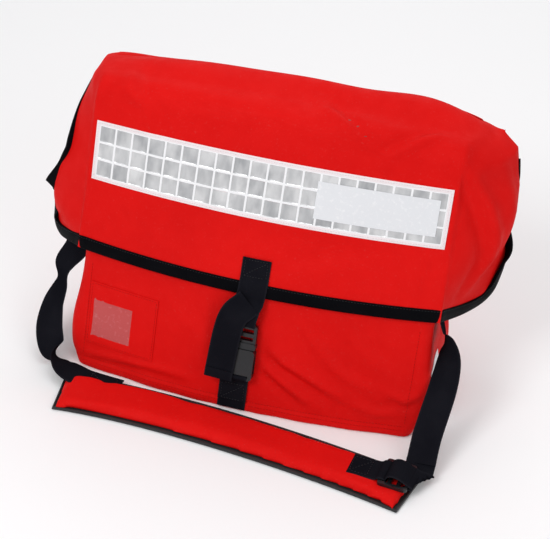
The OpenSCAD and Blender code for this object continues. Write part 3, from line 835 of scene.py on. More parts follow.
@dataclass(frozen=True)
class Form:
    """Sizes of the pouch in mm, and the surfaces that its pieces follow."""

    half_w: float = 238.0
    depth: float = 170.0
    lean: float = math.radians(17.0)
    back_lean: float = math.radians(5.6)
    bulge_full: float = 25.0
    bulge_drop: float = 3.0
    bulge_h: float = 170.0
    bulge_fade: float = 346.0
    flap_half: float = 242.0
    flap_low: float = 165.0
    binding_w: float = 17.0
    flap_n: float = 3.6
    sheet: float = 2.0
    fold_h: float = 369.0
    fold_r: float = 26.0
    crown: float = 20.0
    corner_half: float = 264.0
    hinge_y: float = 122.6
    hinge_z: float = 370.0
    droop: float = 10.0

    @property
    def out(self) -> np.ndarray:
        """Direction straight off the front."""
        return np.array([0.0, -math.cos(self.lean), math.sin(self.lean)])

    def bulge(self, h: Any) -> Any:
        """Forward bulge of the filled front at slant height h."""
        low = self.bulge_full - self.bulge_drop * (1 - h / self.bulge_h)
        high = self.bulge_full * (1 - (h - self.bulge_h) / self.bulge_fade)
        return np.where(np.asarray(h) < self.bulge_h, low, high)

    def front(self, x: Any, h: Any, n: Any = 0.0) -> np.ndarray:
        """Place on the front: across x, slant height h, distance n out."""
        x, h, n = np.broadcast_arrays(np.asarray(x, float), np.asarray(h, float),
                                      np.asarray(n, float))
        swell = self.bulge(h) * (1 - (x / self.half_w) ** 2)
        y = h * math.sin(self.lean) - self.depth / 2 - swell - n * math.cos(self.lean)
        z = h * math.cos(self.lean) + n * math.sin(self.lean)
        return np.stack([x, y, z], axis=-1)

    def back_y(self, z: Any) -> Any:
        """Depth of the back panel at height z."""
        return self.depth / 2 + z * math.tan(self.back_lean)

    @property
    def fold_y(self) -> float:
        """Middle of the flap's rounded fold, front to back."""
        return float(self.front(self.half_w, self.fold_h)[1]) + self.fold_r * math.cos(self.lean)

    @property
    def fold_z(self) -> float:
        """Middle of the flap's rounded fold, height."""
        return float(self.front(self.half_w, self.fold_h)[2]) - self.fold_r * math.sin(self.lean)

    def cover(self, u: Any, v: Any, n: Any) -> np.ndarray:
        """Place on the flap: u across from -1 to 1, v 0 to 1 up the front, 1 to 2 round
        the fold and 2 to 3 back over the top, n out from the body cloth."""
        u, v, n = np.broadcast_arrays(np.asarray(u, float), np.asarray(v, float),
                                      np.asarray(n, float))
        face = self.front(u * self.flap_half, mix(self.flap_low, self.fold_h, v), n)
        w = np.clip(v - 1, 0, 1)
        tilt = mix(self.lean, math.pi / 2, w)
        swell = self.bulge(self.fold_h) * (1 - (u * self.flap_half / self.half_w) ** 2)
        turn = w * math.pi / 2
        fold = np.stack([u * self.flap_half,
                         self.fold_y - (self.fold_r + n) * np.cos(tilt) - swell * np.cos(turn),
                         self.fold_z + (self.fold_r + n) * np.sin(tilt) + swell * np.sin(turn)],
                        axis=-1)
        w = np.clip(v - 2, 0, 1)
        rise = (self.bulge(self.fold_h) * (1 - w)
                + self.crown * np.sin(math.pi * w ** 1.3)) * (1 - u ** 2)
        sag = self.droop * w * np.abs(u) ** 16
        top = np.stack([u * mix(self.flap_half, self.corner_half, bow(w)),
                        mix(self.fold_y, self.hinge_y - 1.2, w),
                        mix(self.fold_z + self.fold_r, self.hinge_z - self.flap_n - 0.6, w)
                        + rise - sag + n], axis=-1)
        return np.where(v[..., None] <= 1, face, np.where(v[..., None] <= 2, fold, top))

    def wing(self, shape: WingShape, v: Any, t: Any) -> np.ndarray:
        """Outer face of a wing, drawn on the right side.

        Args:
            shape: How this wing hangs.
            v: Place along the seam with the cover, 0 to 3 as in cover().
            t: 0 at the free edge to 1 at the seam.

        Returns:
            Points in mm.
        """
        v, t = np.broadcast_arrays(np.asarray(v, float), np.asarray(t, float))
        line = smooth_path([(y, z, 0.0) for y, z in shape.edge], 1.5)
        stops = np.linspace(0, 1, len(line))
        k = (v / 3.0) ** 1.15
        free = np.stack([np.interp(k, stops, line[:, i]) for i in range(2)], axis=-1)
        seam = self.cover(1.0, v, self.flap_n + self.sheet)
        y = mix(free[..., 0], seam[..., 1], t)
        z = mix(free[..., 1], seam[..., 2], t)
        reach = shape.x(y, z, z * math.tan(self.lean) - self.depth / 2)
        curl = shape.curl * ease(z, *shape.curl_z) * np.clip(1 - t / 0.25, 0, 1) ** 1.5
        x = self.flap_half + 1 + self.sheet + reach - curl
        return np.stack([mix(x, seam[..., 0], ease(t, 0.86, 1.0)), y, z], axis=-1)


FORM = Form()


@dataclass
class Band:
    """Flat band round a rectangle on a curved place, such as a border tape."""

    outer: tuple[float, float, float, float]
    inner: tuple[float, float, float, float]
    low: float
    high: float

    def build(self, name: str, place: Callable[[Any, Any, Any], np.ndarray],
              step: float = 6.0) -> bpy.types.Object:
        """Make the band.

        Args:
            name: Name of the piece.
            place: Surface that gives points for across, up and out.
            step: Distance between cross-sections, mm.

        Returns:
            The new object.
        """
        def corners(box: tuple[float, float, float, float]) -> list[Pair]:
            """Corners of a rectangle given as left, low, right, high."""
            return [(box[0], box[1]), (box[2], box[1]), (box[2], box[3]), (box[0], box[3])]

        outs, ins = corners(self.outer), corners(self.inner)
        rings = []
        for i in range(4):
            a, b = np.array(outs[i]), np.array(outs[(i + 1) % 4])
            c, d = np.array(ins[i]), np.array(ins[(i + 1) % 4])
            count = max(2, int(np.linalg.norm(b - a) / step))
            for k in range(count):
                rings.append((mix(a, b, k / count), mix(c, d, k / count)))
        points = []
        for o, n in rings:
            lip = mix(o, n, 0.12), mix(o, n, 0.88)
            points.append([place(o[0], o[1], self.low), place(o[0], o[1], self.high - 0.15),
                           place(lip[0][0], lip[0][1], self.high),
                           place(lip[1][0], lip[1][1], self.high),
                           place(n[0], n[1], self.high - 0.15), place(n[0], n[1], self.low)])
        grid = np.array(points)
        count, size = grid.shape[:2]
        faces = [[r * size + c, r * size + (c + 1) % size,
                  ((r + 1) % count) * size + (c + 1) % size, ((r + 1) % count) * size + c]
                 for r in range(count) for c in range(size)]
        run = np.concatenate([[0], np.cumsum(np.linalg.norm(np.diff(grid[:, 0], axis=0),
                                                            axis=1))]) * MM
        uvs = np.stack([np.stack([np.full_like(run, w), run], axis=1)
                        for w in np.linspace(0, 1, size)], axis=1)
        return new_piece(name, grid.reshape(-1, 3), faces, uvs.reshape(-1, 2), 60.0)


BODY_FOLDS = (
    Fold(((20, 76), (60, 50), (100, 26)), 5.0, 7.0, 0.6, -1),
    Fold(((22, 108), (57, 81), (107, 58), (145, 38)), 6.0, 8.0, 0.6, -1),
    Fold(((62, 150), (92, 116), (120, 86), (145, 69), (170, 60)), 4.5, 7.0, 0.6, 1),
    Fold(((120, 150), (151, 115), (190, 82)), 3.5, 9.0, 0.5, 1),
    Fold(((186, 60), (211, 52), (233, 66)), 4.0, 6.0, 0.6, -1),
    Fold(((150, 40), (178, 30), (205, 32)), 3.0, 6.0, 0.6, 1),
    Fold(((-230, 20), (-182, 25), (-124, 31), (-62, 29)), 2.6, 6.0, 0.8, -1),
    Fold(((-120, 150), (-90, 110), (-50, 90)), 2.5, 12.0, 0.5, 1),
    Fold(((-60, 150), (-52, 110), (-46, 60)), 2.0, 10.0, 0.5, 1),
)


@dataclass
class BagBody:
    """Lofted cloth body with its hem, seams, pocket and gusset patches; rides on root."""

    form: Form = field(default_factory=Form)
    corner_front: float = 13.0
    corner_back: float = 24.0
    base_half: float = 231.0
    hem: float = 13.0
    mouth_hem: float = 16.0
    front_cols: int = 120
    side_cols: int = 22
    rows: int = 74
    pocket: tuple[float, float, float, float] = (-220.0, 38.0, -122.0, 124.0)
    window: tuple[float, float, float, float] = (-213.0, 50.0, -157.0, 100.0)

    def relief(self, x: Any, h: Any) -> np.ndarray:
        """Height of folds and hem on the front at x, slant height h."""
        x, h = np.broadcast_arrays(np.asarray(x, float), np.asarray(h, float))
        total = fold_heights(BODY_FOLDS, x, h) + 1.3 * ripple(x, h, 95.0, 3)
        total = total * ease(np.abs(x + 6.0), 24.0, 44.0)
        calm = ease(x, -232.0, -214.0) * (1 - ease(x, -124.0, -106.0))
        calm = calm * ease(h, 26.0, 40.0) * (1 - ease(h, 122.0, 136.0))
        total = total * (1 - 0.7 * calm)
        total = mix(total, np.minimum(total, 0.0) - 0.6, ease(h, 142.0, 164.0))
        return total + 1.1 * (1 - ease(h, self.hem - 1.5, self.hem + 1.0)) * ease(h, 2.0, 7.0)

    def front(self, x: Any, h: Any, n: Any = 0.0) -> np.ndarray:
        """Place on the wrinkled front, n out from its cloth."""
        x, h, n = np.broadcast_arrays(np.asarray(x, float), np.asarray(h, float),
                                      np.asarray(n, float))
        x0 = x / self.half(h * math.cos(self.form.lean)) * self.form.half_w
        place = self.form.front(x0, h, self.relief(x0, h) + n)
        place[..., 0] = x
        return place

    def half(self, z: Any) -> Any:
        """Half the body's width at height z, with its slack lower corners."""
        return (self.form.half_w - 1.0 + 9.0 * np.exp(-((z - 52.0) / 48.0) ** 2)
                - (self.form.half_w - self.base_half) * (1 - ease(z, -6.0, 30.0)) * 1.3)

    def ring(self) -> np.ndarray:
        """Outline of the body as shares: across from -1 to 1, and 0 front to 1 back."""
        w, d = self.form.half_w, self.form.depth
        rf, rb = self.corner_front, self.corner_back
        turn = np.linspace(0, math.pi / 2, 9)[1:-1]
        run = [np.stack([np.linspace(rf - w, w - rf, self.front_cols),
                         np.zeros(self.front_cols)], axis=1),
               np.stack([w - rf + rf * np.sin(turn), rf - rf * np.cos(turn)], axis=1),
               np.stack([np.full(self.side_cols, w),
                         np.linspace(rf, d - rb, self.side_cols)], axis=1),
               np.stack([w - rb + rb * np.cos(turn), d - rb + rb * np.sin(turn)], axis=1)]
        back = np.stack([np.linspace(w - rb, rb - w, self.front_cols // 2),
                         np.full(self.front_cols // 2, d)], axis=1)
        left = [part[::-1] * (-1, 1) for part in run[:0:-1]]
        ring = np.concatenate(run + [back] + left)
        keep = np.linalg.norm(ring - np.roll(ring, 1, axis=0), axis=1) > 0.01
        return ring[keep] / (w, d)

    def side(self, a: Any, b: Any, z: Any) -> np.ndarray:
        """Place on the body's wall at the outline shares a, b and height z."""
        a, b, z = np.broadcast_arrays(np.asarray(a, float), np.asarray(b, float),
                                      np.asarray(z, float))
        x0 = a * self.form.half_w
        h = z / math.cos(self.form.lean)
        face = self.form.front(x0, h)[..., 1]
        lift = self.relief(x0, h) * (1 - ease(b, 0.0, 0.12)) / math.cos(self.form.lean)
        back = self.form.back_y(z)
        y = mix(face, back, b) - lift
        gusset = ease(np.abs(a), 0.985, 1.0) * ease(b, 0.06, 0.3) * (1 - ease(b, 0.75, 0.97))
        slack = 1.6 * ripple(b * 170.0, z, 70.0, 11) - 2.2
        slack = slack - 6.0 * np.exp(-((b - 0.52) / 0.13) ** 2) * ease(z, 120.0, 320.0)
        x = a * self.half(z) + np.sign(a) * gusset * np.minimum(slack, 0.0)
        rear = ease(b, 0.97, 1.0) * (1.4 * ripple(x0, z, 110.0, 21) + 1.5)
        return np.stack([x, y + rear * ease(z, 8.0, 50.0) * (1 - ease(z, 300.0, 345.0)), z],
                        axis=-1)

    def top_line(self, ring: np.ndarray) -> np.ndarray:
        """Height of the mouth's rim round the outline."""
        rim = np.where(np.abs(ring[:, 0]) > 0.995, 350.0, np.where(ring[:, 1] > 0.5, 361.5, 354.0))
        kernel = np.ones(7) / 7
        return np.convolve(np.concatenate([rim[-3:], rim, rim[:3]]), kernel, "valid")

    def shell(self) -> bpy.types.Object:
        """Make the body's wall and base as one lofted skin."""
        ring = self.ring()
        top = self.top_line(ring)
        share = np.concatenate([np.linspace(0, 0.22, 30)[1:],
                                np.linspace(0.22, 1, self.rows - 29)[1:]])
        z = 3.0 + share[:, None] * (top[None, :] - 3.0)
        wall = self.side(ring[None, :, 0], ring[None, :, 1], z)
        low = wall[0]
        middle = low.mean(axis=0)
        base = []
        for size, drop in ((0.02, 0.4), (0.5, 0.4), (0.85, 0.3), (0.955, 0.1), (0.985, 0.6),
                           (0.996, 1.6)):
            row = middle + (low - middle) * (size, size, 1)
            row[:, 2] = drop
            base.append(row)
        points = np.concatenate([np.array(base), wall])
        piece = cloth("body_shell", points, 1.6, wrap=True, cap=True)
        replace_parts(piece, "front_panel", "back_panel", "gusset_left", "gusset_right",
                    "base_panel")
        return piece

    def mouth(self) -> bpy.types.Object:
        """Make the turned hem inside the mouth."""
        ring = self.ring()
        top = self.top_line(ring) - 0.6
        z = top[None, :] - np.linspace(self.mouth_hem, 0, 6)[:, None]
        wall = self.side(ring[None, :, 0], ring[None, :, 1], z)
        inner = wall - sheet_normals(wall, True, 1.0) * 1.75
        piece = cloth("mouth_hem_band", inner, 1.1, wrap=True)
        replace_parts(piece, "mouth_hem")
        return piece

    def patch(self, side: int) -> bpy.types.Object:
        """Make the reflective patch low on one gusset."""
        name = "right" if side > 0 else "left"
        ys, zs = np.linspace(0, 1, 14), np.linspace(18, 82, 12)
        yy, zz = np.meshgrid(ys, zs)
        rise = (zz - 18) / 64
        y = mix(mix(-66, -46, rise), mix(-6, 8, rise), yy)
        face = self.form.front(self.form.half_w, zz / math.cos(self.form.lean))[..., 1]
        b = (y - face) / (self.form.back_y(zz) - face)
        points = self.side(float(side), b, zz) + np.array([side * 0.95, 0, 0])
        piece = cloth(f"gusset_patch_{name}", points, 0.7, side=side)
        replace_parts(piece, f"reflector_{name}")
        return piece

    def pocket_front(self) -> bpy.types.Object:
        """Make the pocket's cloth face with its window opening."""
        piece = Band(self.pocket, self.window, 0.15, 1.5).build("pocket_face", self.front)
        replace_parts(piece, "id_pocket_frame")
        return piece

    def window_film(self) -> bpy.types.Object:
        """Make the clear film behind the pocket's opening."""
        x0, h0, x1, h1 = self.window
        xs, hs = np.linspace(x0 - 3, x1 + 3, 30), np.linspace(h0 - 3, h1 + 3, 26)
        xx, hh = np.meshgrid(xs, hs)
        wave = 0.22 * np.sin((xx - 0.25 * hh) * 0.55) * ease(-xx, 180.0, 205.0)
        points = self.front(xx, hh, 1.25 + wave)
        piece = cloth("window_film_sheet", points, 0.5)
        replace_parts(piece, "id_window")
        return piece

    def stitching(self) -> bpy.types.Object:
        """Make the red stitch rows of the hem, the pocket and the side seams."""
        rows = Stitches("stitches_body", 2.6, 1.4, 0.34)
        out = self.form.out
        xs = np.linspace(-222, 222, 220)
        for h in (self.hem - 3.0, self.hem + 2.5):
            rows.row(self.front(xs, h, 0.2), np.tile(out, (len(xs), 1)))
        x0, h0, x1, h1 = self.pocket
        inset = 2.2
        box = [(x0 + inset, h0 + inset), (x1 - inset, h0 + inset), (x1 - inset, h1 - inset),
               (x0 + inset, h1 - inset), (x0 + inset, h0 + inset)]
        rows.path(box, 40, lambda x, h: self.front(x, h, 1.6), out)
        hs = np.linspace(20, 150, 60)
        for side in (-1, 1):
            rows.row(self.front(side * 222.0, hs, 0.2), np.tile(out, (len(hs), 1)))
        return rows.build()

    def build(self) -> None:
        """Make and dress every piece of the body."""
        pieces = ((self.shell(), RED), (self.mouth(), RED_LINING), (self.pocket_front(), RED),
                  (self.window_film(), CLEAR_FILM), (self.stitching(), RED_THREAD),
                  (self.patch(-1), REFLECT_PATCH), (self.patch(1), REFLECT_PATCH))
        for piece, finish in pieces:
            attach(finish.dress(piece), "root")
            LOG.info("%s: %d points", piece.name, len(piece.data.vertices))


@dataclass
class Flap:
    """Lid with its cover, wings, edge binding and lining; rides on flap."""

    form: Form = field(default_factory=Form)
    cols: int = 110
    wing_cols: int = 34
    seam_round: float = 12.0
    bound_share: float = 0.93
    bound_cols: int = 7
    bound_rows: int = 5

    def relief(self, u: Any, v: Any) -> np.ndarray:
        """Height of the soft folds over the cover."""
        u, v = np.broadcast_arrays(np.asarray(u, float), np.asarray(v, float))
        x, s = u * self.form.flap_half, v * (self.form.fold_h - self.form.flap_low)
        folds = (
            Fold(((-206, 520), (-196, 296), (-140, 100)), 4.4, 13.0, 0.6, 1),
            Fold(((42, 454), (97, 290), (145, 199)), 5.0, 11.0, 0.7, 1),
            Fold(((210, 414), (182, 318), (148, 199)), 5.5, 11.0, 0.7, -1),
            Fold(((40, 20), (80, 46), (150, 72)), 2.0, 12.0, 0.6, 1),
            Fold(((215, 190), (222, 110), (205, 30)), 2.4, 8.0, 0.6, 1),
            Fold(((-120, 16), (-150, 60), (-205, 90)), 1.4, 14.0, 0.5, 1),
        )
        total = fold_heights(folds, x, s) + 1.5 * ripple(x, s, 150.0, 5)
        hump = 14.0 * np.exp(-((x - 168.0) / 66.0) ** 2) * np.exp(-((v - 2.62) / 0.34) ** 2)
        low = 3.0 * np.exp(-((x + 215.0) / 40.0) ** 2) * np.exp(-((v - 2.7) / 0.3) ** 2)
        total = total * ease(v, 0.03, 0.28) * (1 - ease(v, 2.75, 2.97))
        return total * self.calm(v) + (hump - low) * (1 - ease(v, 2.86, 3.0))

    def calm(self, v: Any) -> Any:
        """Share of the relief that is left where the strip is sewn on."""
        h = mix(self.form.flap_low, self.form.fold_h, v)
        return 1 - 0.75 * ease(h, 245.0, 262.0) * (1 - ease(h, 342.0, 356.0))

    def front(self, x: Any, h: Any, n: Any = 0.0) -> np.ndarray:
        """Place on the flap's front face, n out from its cloth."""
        x, h = np.broadcast_arrays(np.asarray(x, float), np.asarray(h, float))
        u = x / self.form.flap_half
        v = (h - self.form.flap_low) / (self.form.fold_h - self.form.flap_low)
        lift = self.relief(u, v) * (1 - np.abs(u) ** 12)
        return self.form.front(x, h, self.form.flap_n + self.form.sheet + lift + n)

    def grid(self) -> tuple[np.ndarray, int]:
        """Points of the whole flap from the left wing's edge to the right wing's.

        Returns:
            Points as rows by columns by 3, and the number of columns in one wing.
        """
        v = np.concatenate([np.linspace(0.0, 1, 64), np.linspace(1, 2, 18)[1:],
                            np.linspace(2, 3, 36)[1:]])
        u = np.sin(np.linspace(-1, 1, self.cols) * math.pi / 2 * 0.97)
        u = u / u[-1]
        t = np.sin(np.linspace(0, 1, self.wing_cols) * math.pi / 2 * 0.93)
        t = t / t[-1]
        left = self.form.wing(LEFT_WING, v[:, None], t[None, :]) * (-1, 1, 1)
        right = self.form.wing(RIGHT_WING, v[:, None], t[::-1][None, :])
        uu, vv = np.meshgrid(u, v)
        cover = self.form.cover(uu, vv, self.form.flap_n + self.form.sheet)
        lift = self.relief(uu, vv) * (1 - np.abs(uu) ** 12)
        cover = cover + sheet_normals(cover, False, 1.0) * lift[..., None]
        for part, side in ((left, -1), (right, 1)):
            soft = np.sin(math.pi * np.clip(v / 3, 0, 1))[:, None] ** 0.7
            share = t[None, :] if side < 0 else t[::-1][None, :]
            wave = 1.6 * ripple(part[..., 1], part[..., 2], 75.0, 31 + side)
            if side > 0:
                wave = wave + fold_heights(
                    (Fold(((20, 372), (34, 300), (36, 220), (6, 160)), 9.0, 9.0, 0.9, -1),
                     Fold(((70, 350), (66, 290), (50, 210)), 3.0, 11.0, 0.6, 1)),
                    part[..., 1], part[..., 2])
            wave = wave * soft * ease(share, 0.1, 0.35) * (1 - ease(share, 0.9, 1.0))
            part += sheet_normals(part, False, 1.0) * wave[..., None]
        points = np.concatenate([left[:, :-1], cover, right[:, 1:]], axis=1)
        return self.rounded(points), self.wing_cols - 1

    def rounded(self, points: np.ndarray) -> np.ndarray:
        """The same points with the corner along each side seam rounded off."""
        seams = (self.wing_cols - 1, points.shape[1] - self.wing_cols)
        run = np.concatenate([np.zeros((len(points), 1)), np.cumsum(np.linalg.norm(
            np.diff(points, axis=1), axis=2), axis=1)], axis=1)
        for _ in range(30):
            near = np.zeros(points.shape[:2])
            for seam in seams:
                far = np.abs(run - run[:, seam:seam + 1])
                near = np.maximum(near, np.exp(-(far / self.seam_round) ** 2))
            even = points.copy()
            even[:, 1:-1] = (points[:, :-2] + points[:, 2:]) / 2
            points = mix(points, even, near[..., None] * 0.8)
        return points

    def shell(self, points: np.ndarray, wing: int) -> list[bpy.types.Object]:
        """Make the two wings and the cover from one grid of points.

        Args:
            points: Points of the whole flap.
            wing: Number of the column at the left seam.

        Returns:
            Left wing, cover and right wing.
        """
        last = points.shape[1] - 1
        spans = (("flap_side_left", 0, wing, "flap_wing_left", (0.24, 0.26), 0.0225),
                 ("flap_cloth", wing, last - wing, "flap_cover", (0.53, 0.36), 0.178),
                 ("flap_side_right", last - wing, last, "flap_wing_right", (0.24, 0.28), 0.030))
        made = []
        for name, start, end, node, flat, area in spans:
            piece = cloth(name, points[:, start:end + 1], 1.7)
            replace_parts(piece, node)
            made.append(piece)
        return made

    def lining(self, points: np.ndarray, wing: int) -> bpy.types.Object:
        """Make the lining under the cover."""
        last = points.shape[1] - 1
        part = points[3:-2, wing + 3:last - wing - 2]
        inner = part - sheet_normals(part, False, 1.0) * 2.0
        piece = cloth("flap_lining_sheet", inner[::2, ::2], 0.8)
        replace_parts(piece, "flap_lining")
        return piece

    def binding(self, points: np.ndarray, wing: int) -> tuple[list[bpy.types.Object],
                                                             bpy.types.Object]:
        """Make the tape round the free edge, in three lengths, with its stitches.

        Args:
            points: Points of the whole flap.
            wing: Number of the column at the left seam.

        Returns:
            The three tapes and their stitches.
        """
        last = points.shape[1] - 1
        normals = sheet_normals(points, False, 1.0)
        rows = int(len(points) * self.bound_share)
        columns = ((slice(rows, 0, -1), 0), (0, slice(wing + 1, last - wing)),
                   (slice(1, rows), last))
        within = ((slice(rows, 0, -1), self.bound_cols),
                  (self.bound_rows, slice(wing + 1, last - wing)),
                  (slice(1, rows), last - self.bound_cols))
        path = np.concatenate([points[c] for c in columns])
        inner = np.concatenate([points[c] for c in within])
        out = np.concatenate([normals[c] for c in columns])
        run = np.concatenate([[0], np.cumsum(np.linalg.norm(np.diff(path, axis=0), axis=1))])
        stops = np.arange(0, run[-1], 2.5)
        both = np.stack([np.interp(stops, run, data[:, k]) for data in (path, out, inner)
                         for k in range(3)], axis=1)
        wide = 4
        padded = np.concatenate([np.repeat(both[:1], wide, 0), both, np.repeat(both[-1:], wide, 0)])
        kernel = np.hanning(2 * wide + 3)[1:-1]
        kernel /= kernel.sum()
        both = np.stack([np.convolve(padded[:, k], kernel, "valid") for k in range(9)], axis=1)
        edge, out, inner = both[:, :3], unit(both[:, 3:6]), both[:, 6:]
        along = unit(np.gradient(edge, axis=0))
        toward = inner - edge
        toward = toward - along * np.sum(toward * along, axis=1, keepdims=True)
        reach = np.linalg.norm(toward, axis=1, keepdims=True)
        inward = unit(mix(np.cross(out, along), toward / np.maximum(reach, 0.1),
                          np.clip((reach - 5.0) / 6.0, 0, 1)))
        out = unit(np.cross(along, inward))
        edge = edge - out * 0.85
        half = self.form.flap_half
        turns = [int(np.argmin(np.linalg.norm(edge - self.form.front(
            side * half, self.form.flap_low, 4.0), axis=1))) for side in (-1, 1)]
        spans = (("side_binding_left", 0, turns[0], "wing_binding_left"),
                 ("front_binding", turns[0], turns[1], "flap_binding"),
                 ("side_binding_right", turns[1], len(edge) - 1, "wing_binding_right"))
        made = []
        for name, start, end, node in spans:
            s = slice(start, end + 1)
            piece = edge_tape(name, edge[s], inward[s], out[s], self.form.binding_w, 2.3, 1.9)
            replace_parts(piece, node)
            made.append(piece)
        thread = Stitches("stitches_binding", 2.4, 1.5, 0.3)
        thread.row(edge + inward * (self.form.binding_w - 2.2) + out * 2.35, out)
        return made, thread.build()

    def welt(self) -> bpy.types.Object:
        """Make the sewn cloth band that joins the lid to the back panel."""
        form = self.form
        us = np.linspace(-0.93, 0.93, 90)
        top = [form.cover(us, v, form.flap_n + form.sheet + 0.9 + self.relief(us, np.full_like(
            us, v))) for v in np.linspace(2.86, 2.985, 7)]
        rim = top[-1]
        rows = list(top)
        for t in np.linspace(0.1, 1, 12):
            z = mix(rim[:, 2], np.full_like(us, 340.0), t)
            bend = 6.5 * math.sin(math.pi * min(1.0, t * 1.6)) * (1 - t) + 2.6
            y = mix(rim[:, 1], form.back_y(z), min(1.0, t * 3.0)) + bend * min(1.0, t * 4)
            rows.append(np.stack([mix(rim[:, 0], rim[:, 0] * 0.965, min(1, t * 2)), y, z], axis=1))
        points = np.array(rows)
        piece = cloth("rear_hinge_welt", points, 0.9)
        return piece

    def build(self) -> None:
        """Make and dress every piece of the flap."""
        points, wing = self.grid()
        for piece in self.shell(points, wing):
            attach(RED.dress(piece), "flap")
            LOG.info("%s: %d points", piece.name, len(piece.data.vertices))
        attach(RED_LINING.dress(self.lining(points, wing)), "flap")
        tapes, thread = self.binding(points, wing)
        for piece in tapes:
            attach(BLACK_TAPE.dress(piece), "flap")
        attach(BLACK_THREAD.dress(thread), "flap")
        welt = RED.dress(self.welt())
        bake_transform(welt)
        LOG.info("flap built")


@dataclass
class ReflectiveStrip:
    """Prismatic strip sewn on the flap: border tape, welded cells and a plain panel."""

    flap: Flap
    half: float = 235.0
    low: float = 263.0
    high: float = 341.0
    tape: float = 5.0
    pitch: float = 22.45
    panel: tuple[float, float, float, float] = (66.0, 278.0, 221.0, 325.5)

    def cells(self) -> bpy.types.Object:
        """Make the film with a raised weld round each cell."""
        rng = np.random.RandomState(77)
        x0, h0 = -self.half + self.tape, self.low + self.tape
        count = int(round(2 * (self.half - self.tape) / self.pitch))
        pitch_x = 2 * (self.half - self.tape) / count
        pitch_h = (self.high - self.low - 2 * self.tape) / 3
        marks = np.array([0.0, 0.05, 0.09, 0.2, 0.5, 0.8, 0.91, 0.95])
        us = np.append((np.arange(count)[:, None] + marks[None, :]).ravel(), count)
        vs = np.append((np.arange(3)[:, None] + marks[None, :]).ravel(), 3.0)
        uu, vv = np.meshgrid(us, vs)
        col = np.minimum(uu.astype(int), count - 1)
        row = np.minimum(vv.astype(int), 2)
        tilt = rng.uniform(-1, 1, (3, count, 3))
        a, b = uu - col - 0.5, vv - row - 0.5
        rim = np.maximum(np.abs(a), np.abs(b))
        floor = 0.16 + 0.30 * (tilt[row, col, 0] * a + tilt[row, col, 1] * b) + 0.16 * (
            1 - 4 * np.maximum(a * a, b * b)) * (0.5 + tilt[row, col, 2])
        high = np.where(rim > 0.44, 0.62, np.minimum(floor, 0.5))
        points = self.flap.front(x0 + uu * pitch_x, h0 + vv * pitch_h, 0.45 + high)
        piece = cloth("strip_cell_film", points, 0.4, uvs=np.stack([uu, vv], axis=2))
        piece.data.set_sharp_from_angle(angle=math.radians(18))
        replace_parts(piece, "strip_cells")
        return piece

    def plain(self) -> bpy.types.Object:
        """Make the plain film panel over the cells."""
        x0, h0, x1, h1 = self.panel
        xx, hh = np.meshgrid(np.linspace(x0, x1, 50), np.linspace(h0, h1, 18))
        wave = 0.12 * ripple(xx, hh, 22.0, 9)
        points = self.flap.front(xx, hh, 1.5 + wave)
        piece = cloth("strip_plain_panel", points, 0.35)
        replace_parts(piece, "strip_panel")
        return piece

    def border(self) -> bpy.types.Object:
        """Make the pale tape round the strip."""
        h, t = self.half, self.tape
        piece = Band((-h, self.low, h, self.high), (t - h, self.low + t, h - t, self.high - t),
                     0.1, 1.35).build("strip_border_tape", self.flap.front, 5.0)
        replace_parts(piece, "strip_border")
        return piece

    def thread(self) -> bpy.types.Object:
        """Make the stitches along the border."""
        rows = Stitches("stitches_strip", 2.2, 1.2, 0.26)
        h, t = self.half - self.tape / 2, self.tape / 2
        box = [(-h, self.low + t), (h, self.low + t), (h, self.high - t), (-h, self.high - t),
               (-h, self.low + t)]
        rows.path(box, 90, lambda x, up: self.flap.front(x, up, 1.42), self.flap.form.out)
        return rows.build()

    def build(self) -> None:
        """Make and dress every piece of the strip."""
        for piece, finish in ((self.cells(), CELL_FILM), (self.plain(), PLAIN_FILM),
                              (self.border(), PALE_TAPE), (self.thread(), PALE_THREAD)):
            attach(finish.dress(piece), "flap")
            LOG.info("%s: %d points", piece.name, len(piece.data.vertices))


